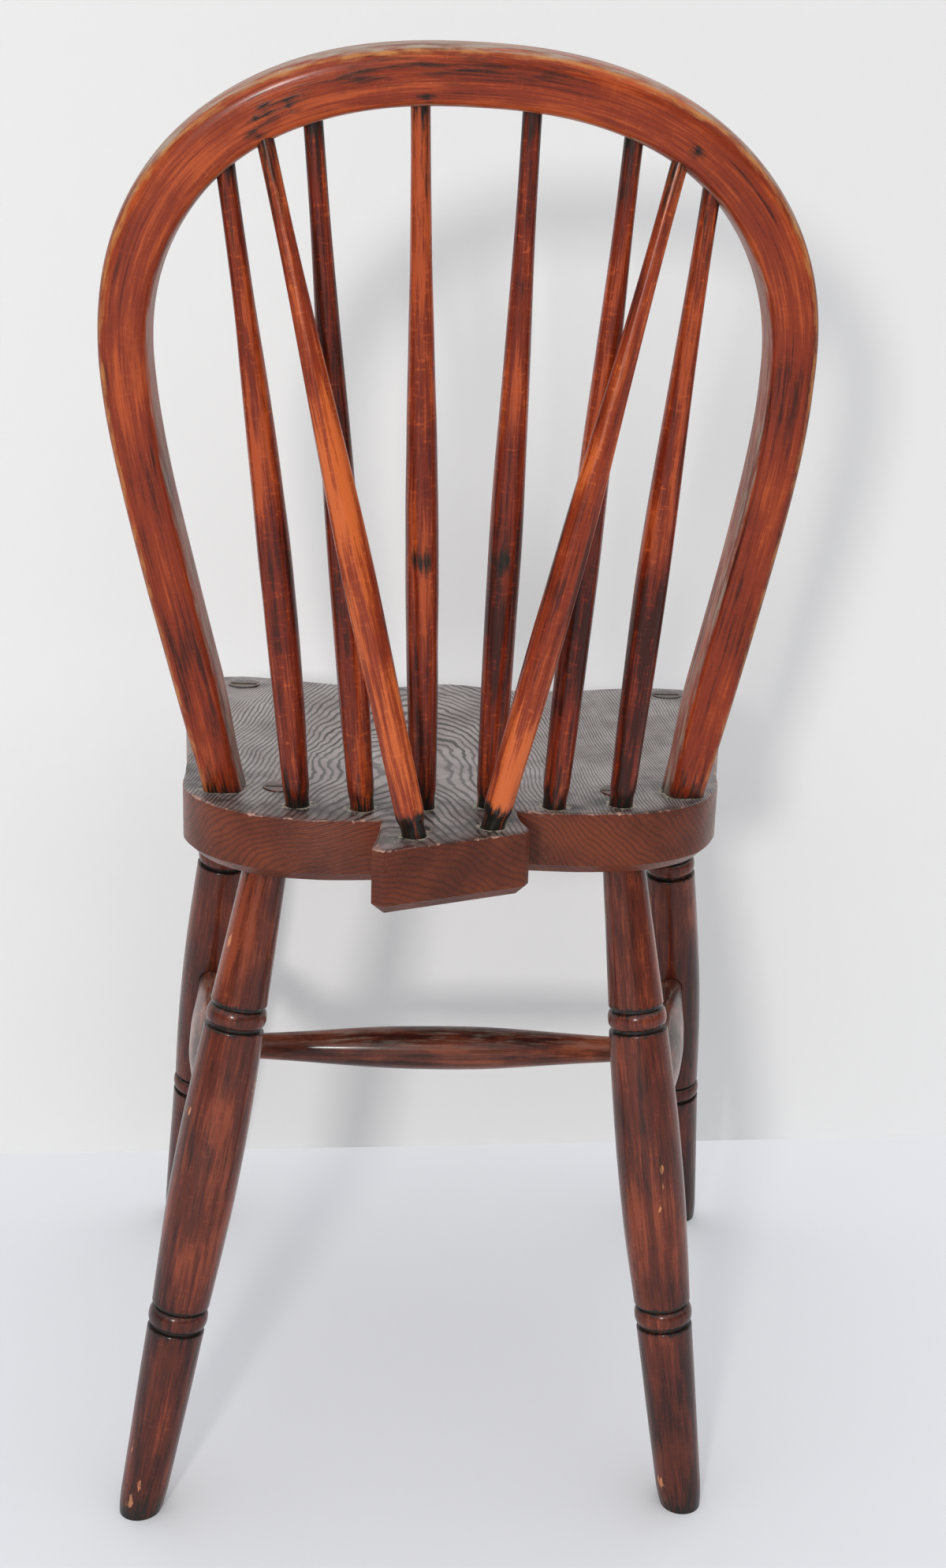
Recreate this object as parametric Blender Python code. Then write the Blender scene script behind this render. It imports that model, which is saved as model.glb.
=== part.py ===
"""Hoop-back side chair with a braced back, in metres, +Z up, its back towards -Y.

One thick board is the seat. Four turned legs pass through it and are wedged from above. An H of
turned stretchers ties the legs. A bent bow and six spindles make the back, and two longer
spindles brace the bow from a tail that is one piece with the seat. The chair was made by hand and
by eye, so left and right differ by a few millimetres, as the values below say.
"""

import math

import bmesh
import bpy
import numpy as np
from mathutils import Vector

# Fits: every tenon stands this far from its socket, and a blind socket is this much deeper. A hole
# is cut from this far outside the surface.
CLEARANCE = 0.0003
SOCKET_SPARE = 0.0008
CUT_PAST = 0.010

# Seat board. Heights are taken at its middle, and it rises a little towards the front.
SEAT_HEIGHT = 0.464
SEAT_RISE = 0.029
SEAT_THICKNESS = 0.0388
TOP_EDGE = 0.0016
UNDER_CHAMFER = 0.0062

# The board's outline as it was sawn: a smooth line through these points (x, y), from the tail's
# right root round the front to its left one. Its rear edge lies further back on the left.
SEAT_FRONT = 0.1460
BOARD_EDGE = (
    (0.0380, -0.1552), (0.0860, -0.1560), (0.1240, -0.1480), (0.1515, -0.1270), (0.1648, -0.0990),
    (0.1700, -0.0600), (0.1815, 0.0020), (0.1890, 0.0700), (0.1905, 0.1000), (0.1900, 0.1210),
    (0.1860, 0.1355), (0.1770, 0.1440), (0.1620, 0.1475), (0.1350, 0.1465), (0.1050, 0.1450),
    (0.0000, SEAT_FRONT), (-0.1050, 0.1450), (-0.1350, 0.1462), (-0.1590, 0.1468),
    (-0.1730, 0.1432), (-0.1820, 0.1350), (-0.1862, 0.1210), (-0.1868, 0.1000), (-0.1810, 0.0350),
    (-0.1700, -0.0320), (-0.1640, -0.0900), (-0.1600, -0.1245), (-0.1430, -0.1520),
    (-0.1170, -0.1705), (-0.0800, -0.1788), (-0.0410, -0.1772),
)
BOARD_STEPS = 2

# Saddling: a shallow dish with a low ridge in the middle of the front edge.
DISH_DEPTH = 0.0085
DISH_HALF_WIDTH = 0.152
DISH_SIDE_RAMP = 1.6
DISH_REAR = -0.120
DISH_REAR_RAMP = 0.110
DISH_FRONT_RAMP = 0.020
DISH_FRONT_SHARE = 0.50
RIDGE_SHARE = 0.75
RIDGE_HALF_WIDTH = 0.045

# The upper face is built from ovals round this middle. Each is a share of the largest one.
OVAL_MIDDLE = 0.010
OVAL_HALF_WIDTH = 0.150
OVAL_FRONT = 0.115
OVAL_REAR = 0.140
OVAL_POWER = 3.2
OVAL_SHARES = (1.0, 0.88, 0.74, 0.60, 0.45, 0.30, 0.15, 0.05)

# Tail of the seat, which carries the braces. It flares, its end is cut askew, and the two corners
# of its end are sawn off: TAIL_CORNER is how much of each cut the chamfer below leaves.
TAIL_END_HALF_WIDTH = 0.0455
TAIL_REACH_LEFT = 0.2325
TAIL_REACH_RIGHT = 0.1905
TAIL_CORNER = 0.0010
TAIL_FLARE = 0.60
TAIL_STEPS = 4

# Legs. Feet and heads are (x, y) on the floor and on top of the seat.
LEG_FEET = {
    "rear_left": (-0.1850, -0.1824),
    "rear_right": (0.1605, -0.1764),
    "front_left": (-0.2105, 0.1870),
    "front_right": (0.2070, 0.1888),
}
LEG_HEADS = {
    "rear_left": (-0.1030, -0.1196),
    "rear_right": (0.1014, -0.1119),
    "front_left": (-0.1512, 0.1238),
    "front_right": (0.1610, 0.1270),
}
FRONT_LEG_GIRTH = 1.06
LEG_FOOT_R = 0.0142
LEG_ANKLE_R = 0.0180
LEG_SWELL_R = 0.0210
LEG_KNEE_R = 0.0186
LEG_NECK_R = 0.0175
LEG_SEAT_R = 0.0128
LEG_TENON_R = 0.0103
LEG_FOOT_EASE = 0.0012
LEG_FOOT_EASE_HEIGHT = 0.004
LEG_SWELL_HEIGHT = 0.226
LOW_BEAD_HEIGHT = 0.1285
HIGH_BEAD_HEIGHT = {"rear": 0.3205, "front": 0.3300}
BEAD_R = 0.0186
BEAD_HALF = 0.0056
BEAD_FACETS = (0.75, 1.0)
GROOVE_WIDTH = 0.0020
GROOVE_DEPTH = 0.0028
GROOVE_SIDE = 0.0004
SHOULDER = 0.0010
TENON_PROUD = 0.0006

# Wedges driven into the saw kerf across each leg's tenon.
WEDGE_WIDTH = 0.0026
WEDGE_TIP = 0.0010
WEDGE_LENGTH = 0.0150
WEDGE_PROUD = 0.0004
WEDGE_SHARE = 0.90
WEDGE_TIP_SHARE = 0.93

# Stretchers. The side ones run from leg to leg, and the cross one joins their middles.
STRETCHER_REAR_HEIGHT = 0.2413
STRETCHER_FRONT_HEIGHT = 0.2273
SIDE_STRETCHER_END_R = 0.0080
SIDE_STRETCHER_MID_R = 0.0155
CROSS_STRETCHER_END_R = 0.0082
CROSS_STRETCHER_MID_R = 0.0155
STRETCHER_IN_LEG = 0.006
CROSS_IN_SIDE = 0.004

# Bow: its outer edge in its own plane, which stands on the seat and leans back.
BOW_FOOT = -0.117
BOW_LEAN = math.radians(13.4)
BOW_TURN = math.radians(2.5)
BOW_HALF_WIDTH = 0.1906
BOW_OFF_CENTRE = -0.0043
BOW_FEET_OFF_CENTRE = 0.0027
BOW_WIDEST = 0.260
BOW_HEIGHT = 0.4215
BOW_SPREAD = 0.195
BOW_EASE = 0.065
BOW_CROWN_POWER = 2.3
BOW_FACE = 0.0268
BOW_CROWN_FACE = 0.0300
BOW_CROWN_RAMP = 1.5
BOW_DEPTH = 0.0285
BOW_INNER_SLANT = 0.0020
BOW_SECTION_POWER = 4.6
BOW_RUBBED_POWER = 2.7
BOW_FOOT_SHARE = 0.87
BOW_FOOT_TAPER = 0.070
BOW_TENON_R = 0.0088
BOW_TENON_LENGTH = 0.021

# Spindles: (foot x, foot y) on the seat, and the x at which each one meets the bow's middle line.
SPINDLES = (
    (-0.0905, -0.1530, -0.1240),
    (-0.0527, -0.1565, -0.0840),
    (-0.0174, -0.1510, -0.0293),
    (0.0217, -0.1460, 0.0273),
    (0.0605, -0.1445, 0.0801),
    (0.1010, -0.1380, 0.1222),
)
SPINDLE_TENON = 0.018
SPINDLE_TOP_TENON = 0.020
SPINDLE_FOOT_R = 0.0070
SPINDLE_HEEL_R = 0.0078
SPINDLE_SWELL_R = 0.0093
SPINDLE_TOP_R = 0.0050
SPINDLE_HEEL_LOW = 0.006
SPINDLE_HEEL = 0.012
SPINDLE_SWELL = 0.36

# Braces: the same, from the tail to the rear half of the bow's thickness.
BRACES = {
    "left": (-0.0216, -0.2024, -0.1102),
    "right": (0.0228, -0.1843, 0.1038),
}
BRACE_FOOT_R = 0.0068
BRACE_HEEL_R = 0.0082
BRACE_SWELL_R = 0.0092
BRACE_TOP_R = 0.0045
BRACE_SWELL = 0.33
BRACE_BEHIND = 0.0050

# Facets round each section and along each length. Edges sharper than SHARP stay crisp.
LEG_SIDES = 16
STRETCHER_SIDES = 14
SPINDLE_SIDES = 12
BOW_SIDES = 16
LEG_RISE_STEPS = 4
LEG_FALL_STEPS = 3
STRETCHER_STEPS = 12
SPINDLE_RISE_STEPS = 3
SPINDLE_FALL_STEPS = 5
BOW_FOOT_STEPS = 8
BOW_CROWN_STEPS = 14
SHARP = math.radians(35)

COLOURS = {
    "elm": ((0.115, 0.062, 0.046, 1.0), 0.55),
    "turned_beech": ((0.150, 0.032, 0.013, 1.0), 0.36),
    "bent_ash": ((0.185, 0.042, 0.016, 1.0), 0.34),
    "wedge": ((0.120, 0.070, 0.040, 1.0), 0.60),
}


def material(name):
    """The stained and varnished finish of one kind of wood."""
    found = bpy.data.materials.get(name)
    if found:
        return found
    colour, roughness = COLOURS[name]
    made = bpy.data.materials.new(name)
    made.use_nodes = True
    shader = made.node_tree.nodes["Principled BSDF"]
    shader.inputs["Base Color"].default_value = colour
    shader.inputs["Roughness"].default_value = roughness
    shader.inputs["Metallic"].default_value = 0.0
    return made


def seat_plane(y):
    """Height of the board's flat upper face."""
    return SEAT_HEIGHT + SEAT_RISE * y


def smooth(share):
    """Eased step from 0 to 1."""
    share = min(max(share, 0.0), 1.0)
    return share * share * (3.0 - 2.0 * share)


def dish(x, y):
    """Depth of the saddling below the flat face: full in the middle, none at the sides and rear."""
    across = smooth(DISH_SIDE_RAMP * (1.0 - abs(x) / DISH_HALF_WIDTH))
    along = smooth((y - DISH_REAR) / DISH_REAR_RAMP)
    towards_front = smooth((y - DISH_FRONT_RAMP) / (SEAT_FRONT - DISH_FRONT_RAMP))
    shallower = 1.0 - (1.0 - DISH_FRONT_SHARE) * towards_front
    ridge = RIDGE_SHARE * towards_front * smooth(1.0 - abs(x) / RIDGE_HALF_WIDTH)
    return DISH_DEPTH * across * along * shallower * (1.0 - ridge)


def on_seat(x, y):
    """The point of the seat's upper face above (x, y)."""
    return Vector((x, y, seat_plane(y) - dish(x, y)))


def square_to(direction):
    """Two unit vectors square to a direction and to each other."""
    other = Vector((0, 0, 1)) if abs(direction.y) > abs(direction.z) else Vector((0, 1, 0))
    first = other.cross(direction).normalized()
    return first, direction.normalized().cross(first)


def ring(centre, direction, radius, sides):
    """A circle of points round an axis."""
    first, second = square_to(direction)
    points = []
    for i in range(sides):
        angle = 2 * math.pi * (i + 0.5) / sides
        points.append(centre + radius * (math.cos(angle) * first + math.sin(angle) * second))
    return points


def slid(points, direction, height, slope=0.0):
    """The points slid along a direction onto the plane z = height + slope * y."""
    moved = []
    for p in points:
        gap = height + slope * p.y - p.z
        moved.append(p + direction * (gap / (direction.z - slope * direction.y)))
    return moved


def loft(name, rings, wood):
    """One closed solid through rings with as many points each, capped at both ends."""
    mesh = bmesh.new()
    loops = [[mesh.verts.new(p) for p in points] for points in rings]
    for low, high in zip(loops, loops[1:]):
        for i in range(len(low)):
            j = (i + 1) % len(low)
            mesh.faces.new((low[i], low[j], high[j], high[i]))
    mesh.faces.new(list(reversed(loops[0])))
    mesh.faces.new(loops[-1])
    bmesh.ops.recalc_face_normals(mesh, faces=mesh.faces)
    data = bpy.data.meshes.new(name)
    mesh.to_mesh(data)
    mesh.free()
    data.shade_smooth()
    data.set_sharp_from_angle(angle=SHARP)
    made = bpy.data.objects.new(name, data)
    data.materials.append(material(wood))
    bpy.context.scene.collection.objects.link(made)
    made.parent = chair
    return made


def cut(owner, label, rings):
    """Takes a lofted shape out of a piece. The shape that cuts is not rendered."""
    cutter = loft(f"{owner.name}_{label}", rings, "wedge")
    cutter.hide_render = True
    cutter.display_type = "WIRE"
    boolean = owner.modifiers.new(label, "BOOLEAN")
    boolean.operation = "DIFFERENCE"
    boolean.object = cutter
    boolean.solver = "EXACT"


def bore(owner, label, start, end, radius, sides, end_radius=None):
    """Drills a socket from start to end. It can taper, as a reamed one does."""
    way = end - start
    last = radius if end_radius is None else end_radius
    cut(owner, label, [ring(start, way, radius, sides), ring(end, way, last, sides)])


def curve_through(points, steps):
    """A smooth line through points, as an array: a cubic for each stretch, whose slopes at its two
    ends follow the points on either side of them. Gives so many points for each stretch."""
    p = np.array(points)
    spans = np.linalg.norm(np.diff(p, axis=0), axis=1)
    slopes = np.gradient(p, np.concatenate([[0.0], np.cumsum(spans)]), axis=0)
    line = []
    for start, end, leave, arrive, span in zip(p, p[1:], slopes, slopes[1:], spans):
        for step in range(steps):
            s = step / steps
            near, far = smooth(1 - s), smooth(s)
            bend = s * (1 - s) * span
            line.append(near * start + far * end + bend * ((1 - s) * leave - s * arrive))
    return np.array(line + [p[-1]])


def tail_outline():
    """Flared sides and askew end of the tail, from its left root to its right one, roots left out."""
    left = np.array((-TAIL_END_HALF_WIDTH, -TAIL_REACH_LEFT))
    right = np.array((TAIL_END_HALF_WIDTH, -TAIL_REACH_RIGHT))
    left_side = flared(BOARD_EDGE[-1], left)
    right_side = flared(BOARD_EDGE[0], right)
    left_cut, right_cut = cut_corner(left_side[-1], left, right), cut_corner(right_side[-1], right, left)
    low, high = left_cut[1], right_cut[1]
    end = [low + (high - low) * i / TAIL_STEPS for i in range(1, TAIL_STEPS)]
    return left_side + left_cut + end + right_cut[::-1] + right_side[::-1]


def flared(root, corner):
    """Two points of the tail's side, which curves outwards from its root and ends straight."""
    root = np.array(root)
    way = corner - root
    return [root + way * (share**2, share) for share in (TAIL_FLARE / 2, TAIL_FLARE)]


def cut_corner(before, corner, after):
    """The two ends of a corner's cut, square to its middle. However sharp the corner is, the cut is
    wide enough for the chamfer, which takes the tangent of a quarter of its turn from each end."""
    back = (before - corner) / np.linalg.norm(before - corner)
    on = (after - corner) / np.linalg.norm(after - corner)
    half = math.acos(float(back @ on)) / 2
    half_cut = UNDER_CHAMFER * math.tan((math.pi / 2 - half) / 2) + TAIL_CORNER / 2
    reach = half_cut / math.sin(half)
    return [corner + back * reach, corner + on * reach]


def inset(outline, distance):
    """A closed anticlockwise outline moved inwards, with mitred corners."""
    along = np.roll(outline, -1, axis=0) - outline
    along /= np.linalg.norm(along, axis=1)[:, None]
    inward = np.stack([-along[:, 1], along[:, 0]], axis=1)
    both = inward + np.roll(inward, 1, axis=0)
    both /= np.linalg.norm(both, axis=1)[:, None]
    reach = distance / np.sum(both * inward, axis=1)
    return outline + both * reach[:, None]


def level(points, drop, saddled=False):
    """Points at a depth below the board's flat face, or below its saddled one."""
    risen = []
    for x, y in points:
        low = drop + (dish(x, y) if saddled else 0.0)
        risen.append(Vector((x, y, seat_plane(y) - low)))
    return risen


def oval(angles, size):
    """A superellipse inside the outline, with a point at each angle."""
    points = []
    for angle in angles:
        c, s = math.cos(angle), math.sin(angle)
        depth = OVAL_FRONT if s > 0 else OVAL_REAR
        norm = abs(c / OVAL_HALF_WIDTH) ** OVAL_POWER + abs(s / depth) ** OVAL_POWER
        reach = size * norm ** (-1 / OVAL_POWER)
        points.append((reach * c, OVAL_MIDDLE * size + reach * s))
    return points


def make_seat():
    """The board: chamfered below, eased above, saddled, with its tail in one piece."""
    board = curve_through(BOARD_EDGE, BOARD_STEPS)
    outline = np.concatenate([board, tail_outline()])
    last = len(board) - 1
    angles = np.unwrap(np.arctan2(outline[:, 1] - OVAL_MIDDLE, outline[:, 0]))
    around = np.linspace(angles[last], angles[0] + 2 * math.pi, len(outline) - last + 1)
    angles[last:] = around[:-1]
    ease = TOP_EDGE * (1 - math.sqrt(0.5))
    rings = [
        level(inset(outline, UNDER_CHAMFER), SEAT_THICKNESS),
        level(outline, SEAT_THICKNESS - UNDER_CHAMFER),
        level(outline, TOP_EDGE, saddled=True),
        level(inset(outline, ease), ease, saddled=True),
        level(inset(outline, TOP_EDGE), 0.0, saddled=True),
    ]
    rings += [level(oval(angles, size), 0.0, saddled=True) for size in OVAL_SHARES]
    return loft("seat", rings, "elm")


def bow_axes():
    """Foot of the bow's plane and its unit vectors: across, up the bow, and towards the front."""
    foot = Vector((0.0, BOW_FOOT, seat_plane(BOW_FOOT)))
    across = Vector((math.cos(BOW_TURN), math.sin(BOW_TURN), 0.0))
    front = Vector((-math.sin(BOW_TURN), math.cos(BOW_TURN), 0.0))
    up = Vector((0, 0, 1)) * math.cos(BOW_LEAN) - front * math.sin(BOW_LEAN)
    forward = front * math.cos(BOW_LEAN) + Vector((0, 0, 1)) * math.sin(BOW_LEAN)
    return foot, across, up, forward


def bow_edge():
    """The bow's outer edge from the left foot over the crown to the right foot, as an array.

    The sides are a hyperbola, straight at the feet and upright where the bow is widest. The crown
    is a superellipse that carries on from there. The whole leans a little to the left.
    """
    rise = np.linspace(0.0, BOW_WIDEST, BOW_FOOT_STEPS + 1)[:-1]
    half = BOW_HALF_WIDTH - BOW_SPREAD * (np.hypot(BOW_WIDEST - rise, BOW_EASE) - BOW_EASE)
    turn = np.linspace(0.0, math.pi / 2, BOW_CROWN_STEPS + 1)
    power = 2 / BOW_CROWN_POWER
    crown_x = BOW_HALF_WIDTH * np.abs(np.cos(turn)) ** power
    crown_z = BOW_WIDEST + (BOW_HEIGHT - BOW_WIDEST) * np.abs(np.sin(turn)) ** power
    x = np.concatenate([half, crown_x])
    z = np.concatenate([rise, crown_z])
    x = np.concatenate([-x, x[-2::-1]])
    z = np.concatenate([z, z[-2::-1]])
    middle = np.interp(z, (0.0, BOW_WIDEST), (BOW_FEET_OFF_CENTRE, BOW_OFF_CENTRE))
    return np.stack([x + middle, z], axis=1)


def bow_crown(height):
    """How far a height of the bow's outer edge belongs to the crown, from 0 to 1."""
    return smooth(BOW_CROWN_RAMP * (height - BOW_WIDEST) / (BOW_HEIGHT - BOW_WIDEST))


def bow_face(height):
    """Width of the bow's face at a height of its outer edge: it is broadest over the crown."""
    at_foot = smooth(height / BOW_FOOT_TAPER)
    face = BOW_FACE + (BOW_CROWN_FACE - BOW_FACE) * bow_crown(height)
    return face * (BOW_FOOT_SHARE + (1 - BOW_FOOT_SHARE) * at_foot)


def bow_middle():
    """The bow's middle line, its unit normals out of the hoop, and the outer edge's heights."""
    edge = bow_edge()
    along = np.gradient(edge, axis=0)
    along /= np.linalg.norm(along, axis=1)[:, None]
    outward = np.stack([-along[:, 1], along[:, 0]], axis=1)
    faces = np.array([bow_face(height) for height in edge[:, 1]])
    line = edge - outward * faces[:, None] / 2
    return line.tolist(), outward.tolist(), edge[:, 1].tolist()


def bow_point(x):
    """Where the crown's middle line passes over x, in the bow's plane."""
    xs, zs = np.array(bow_middle()[0]).T
    low, high = int(np.argmin(xs)), int(np.argmax(xs))
    return float(np.interp(x, xs[low : high + 1], zs[low : high + 1]))


def in_bow(x, z, forward_by=0.0):
    """A point of the bow's plane, in space."""
    foot, across, up, forward = bow_axes()
    return foot + x * across + z * up + forward_by * forward


def bow_section(height):
    """The bow's rounded section as (outward, forward) pairs. Its inner side slants, and over the
    crown its outer rear corner is rubbed rounder."""
    pairs = []
    face = bow_face(height)
    rubbed = BOW_SECTION_POWER + (BOW_RUBBED_POWER - BOW_SECTION_POWER) * bow_crown(height)
    half_depth = BOW_DEPTH / 2 * min(face / BOW_FACE, 1.0)
    for i in range(BOW_SIDES):
        angle = 2 * math.pi * (i + 0.5) / BOW_SIDES
        c, s = math.cos(angle), math.sin(angle)
        power = 2 / (rubbed if c > 0 > s else BOW_SECTION_POWER)
        out = math.copysign(abs(c) ** power, c) * face / 2
        deep = math.copysign(abs(s) ** power, s) * half_depth
        if out < 0:
            out -= BOW_INNER_SLANT * deep / BOW_DEPTH
        pairs.append((out, deep))
    return pairs


def bow_foot(end):
    """Middle of a foot on the seat, and the way down into it: end is 0 on the left, -1 on the right."""
    line, _, _ = bow_middle()
    after = line[1] if end == 0 else line[-2]
    above = in_bow(*after)
    below = in_bow(*line[end])
    down = (below - above).normalized()
    return slid([below], down, SEAT_HEIGHT, SEAT_RISE)[0], down


def bow_tenon(end):
    """Rings of the round tenon, from the shoulder on the seat down to its tip."""
    foot, down = bow_foot(end)
    top = ring(foot, down, BOW_TENON_R, BOW_SIDES)
    tip = ring(foot + down * BOW_TENON_LENGTH, down, BOW_TENON_R, BOW_SIDES)
    return [slid(top, down, SEAT_HEIGHT + CLEARANCE, SEAT_RISE), tip]


def make_bow():
    """The bent bow, shaved thinner at its feet, with a round tenon at each end."""
    line, outward, heights = bow_middle()
    _, across, up, forward = bow_axes()
    rings = []
    for (x, z), (ox, oz), height in zip(line, outward, heights):
        out = ox * across + oz * up
        centre = in_bow(x, z)
        rings.append([centre + a * out + b * forward for a, b in bow_section(height)])
    ends = []
    for end in (0, -1):
        _, down = bow_foot(end)
        body = slid(rings[end], down, SEAT_HEIGHT + CLEARANCE, SEAT_RISE)
        ends.append([body] + [matched(points, body) for points in bow_tenon(end)])
    left, right = ends
    return loft("hoop", list(reversed(left)) + rings[1:-1] + right, "bent_ash")


def matched(points, guide):
    """The same ring, started and turned so that its points face those of the guide ring."""
    count = len(points)
    best, chosen = None, points
    for order in (points, list(reversed(points))):
        for shift in range(count):
            tried = order[shift:] + order[:shift]
            spread = sum((a - b).length for a, b in zip(tried, guide))
            if best is None or spread < best:
                best, chosen = spread, tried
    return chosen


def leg_line(place):
    """Foot and head of a leg's axis, and the unit vector between them."""
    foot = Vector((*LEG_FEET[place], 0.0))
    x, y = LEG_HEADS[place]
    head = Vector((x, y, seat_plane(y)))
    return foot, head, (head - foot).normalized()


def bead(height, below, above):
    """(height, radius) pairs of a turned bead between two grooves, for the radii on each side."""
    deep = BEAD_R - GROOVE_DEPTH
    edge = BEAD_HALF + GROOVE_WIDTH
    pairs = [(height, BEAD_R)]
    for sign, beside in ((-1, below), (1, above)):
        round_r = [deep + GROOVE_DEPTH * math.sqrt(1 - share**2) for share in BEAD_FACETS]
        side = list(zip([BEAD_HALF * share for share in BEAD_FACETS], round_r))
        side += [(edge - GROOVE_SIDE, deep), (edge, beside - SHOULDER), (edge + SHOULDER, beside)]
        pairs += [(height + sign * away, radius) for away, radius in side]
    return sorted(pairs)


def leg_profile(place):
    """(height, radius) pairs from the floor to the top of the neck."""
    high = HIGH_BEAD_HEIGHT[place.split("_")[0]]
    low_top = LOW_BEAD_HEIGHT + BEAD_HALF + GROOVE_WIDTH
    high_bottom = high - BEAD_HALF - GROOVE_WIDTH
    pairs = [(0.0, LEG_FOOT_R - LEG_FOOT_EASE), (LEG_FOOT_EASE_HEIGHT, LEG_FOOT_R)]
    pairs += bead(LOW_BEAD_HEIGHT, LEG_ANKLE_R, LEG_ANKLE_R)
    for step in range(1, LEG_RISE_STEPS + 1):
        share = step / LEG_RISE_STEPS
        height = low_top + (LEG_SWELL_HEIGHT - low_top) * share
        radius = LEG_ANKLE_R + (LEG_SWELL_R - LEG_ANKLE_R) * math.sin(share * math.pi / 2)
        pairs.append((height, radius))
    for step in range(1, LEG_FALL_STEPS):
        share = step / LEG_FALL_STEPS
        height = LEG_SWELL_HEIGHT + (high_bottom - LEG_SWELL_HEIGHT) * share
        radius = LEG_KNEE_R + (LEG_SWELL_R - LEG_KNEE_R) * math.cos(share * math.pi / 2)
        pairs.append((height, radius))
    pairs += bead(high, LEG_KNEE_R, LEG_NECK_R)
    girth = FRONT_LEG_GIRTH if place.startswith("front") else 1.0
    return [(height, radius * girth) for height, radius in pairs]


def make_leg(place):
    """One turned leg, its foot cut level and its tapered tenon cut flush with the seat."""
    foot, head, way = leg_line(place)
    rings = []
    for height, radius in leg_profile(place):
        centre = foot + way * (height / way.z)
        points = ring(centre, way, radius, LEG_SIDES)
        rings.append(slid(points, way, 0.0) if height == 0.0 else points)
    under = head.z - SEAT_THICKNESS
    centre = foot + way * (under / way.z)
    rings.append(ring(centre, way, LEG_SEAT_R, LEG_SIDES))
    top = ring(head, way, LEG_TENON_R, LEG_SIDES)
    rings.append(slid(top, way, SEAT_HEIGHT + TENON_PROUD, SEAT_RISE))
    return loft(f"leg_{place}", rings, "turned_beech")


def kerf_axes(place):
    """Unit vectors of a leg's saw kerf: along the cut, and across it."""
    _, _, way = leg_line(place)
    across = Vector((0, 1, 0)).cross(way).cross(way).normalized()
    return way.cross(across).normalized(), across


def kerf_ring(place, rise, half_length, half_width):
    """A rectangle across a leg's tenon, at a distance above its head along the leg's axis."""
    _, head, way = leg_line(place)
    along, across = kerf_axes(place)
    signs = ((1, 1), (-1, 1), (-1, -1), (1, -1))
    centre = head + way * rise
    return [centre + a * half_length * along + b * half_width * across for a, b in signs]


def make_wedge(place):
    """The hardwood wedge that spreads a leg's tenon in its hole."""
    _, _, way = leg_line(place)
    rise = TENON_PROUD + WEDGE_PROUD
    length = WEDGE_SHARE * LEG_TENON_R
    top = kerf_ring(place, rise, length, WEDGE_WIDTH / 2)
    tip = kerf_ring(place, -WEDGE_LENGTH, WEDGE_TIP_SHARE * length, WEDGE_TIP / 2)
    return loft(f"leg_wedge_{place}", [slid(top, way, SEAT_HEIGHT + rise, SEAT_RISE), tip], "wedge")


def cut_kerf(leg, place):
    """The saw kerf that the wedge is driven into."""
    half_width = WEDGE_WIDTH / 2 + CLEARANCE
    bottom = kerf_ring(place, -WEDGE_LENGTH - SOCKET_SPARE, 2 * LEG_TENON_R, half_width)
    above = kerf_ring(place, CUT_PAST, 2 * LEG_TENON_R, half_width)
    cut(leg, "kerf", [above, bottom])


def leg_at(place, height):
    """The point of a leg's axis at a height, and the leg's radius there."""
    foot, _, way = leg_line(place)
    heights, radii = zip(*leg_profile(place))
    return foot + way * (height / way.z), float(np.interp(height, heights, radii))


def swell(share, end_r, middle_r):
    """Radius of a stretcher at a share of its length: it swells evenly towards its middle."""
    return end_r + (middle_r - end_r) * (0.5 - 0.5 * math.cos(2 * math.pi * share))


def stretcher_rings(start, end, end_r, middle_r):
    """A stretcher's rings from end to end."""
    way = end - start
    shares = [i / STRETCHER_STEPS for i in range(STRETCHER_STEPS + 1)]
    radii = [swell(share, end_r, middle_r) for share in shares]
    return [ring(start + way * a, way, r, STRETCHER_SIDES) for a, r in zip(shares, radii)]


def stretcher_socket(owner, label, tip, other_tip, mouth, end_r, middle_r):
    """The socket for a stretcher's tip. It follows the swell as far as its mouth."""
    way = (other_tip - tip).normalized()
    share = mouth / (other_tip - tip).length
    bottom = tip - way * SOCKET_SPARE
    mouth_r = swell(share, end_r, middle_r) + CLEARANCE
    bore(owner, label, bottom, tip + way * mouth, end_r + CLEARANCE, STRETCHER_SIDES, mouth_r)


def side_stretcher_ends(side):
    """Ends of a side stretcher's axis inside the legs, and its middle."""
    rear, _ = leg_at(f"rear_{side}", STRETCHER_REAR_HEIGHT)
    front, _ = leg_at(f"front_{side}", STRETCHER_FRONT_HEIGHT)
    way = (front - rear).normalized()
    return rear - way * STRETCHER_IN_LEG, front + way * STRETCHER_IN_LEG, (rear + front) / 2


def make_side_stretcher(side, legs):
    """One side stretcher, and its sockets in the two legs."""
    rear, front, _ = side_stretcher_ends(side)
    radii = (SIDE_STRETCHER_END_R, SIDE_STRETCHER_MID_R)
    mouth = STRETCHER_IN_LEG + LEG_SWELL_R + CUT_PAST
    for place, tip, other in (("rear", rear, front), ("front", front, rear)):
        stretcher_socket(legs[f"{place}_{side}"], "stretcher_socket", tip, other, mouth, *radii)
    name = f"side_stretcher_{side}"
    return loft(name, stretcher_rings(rear, front, *radii), "turned_beech")


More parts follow.
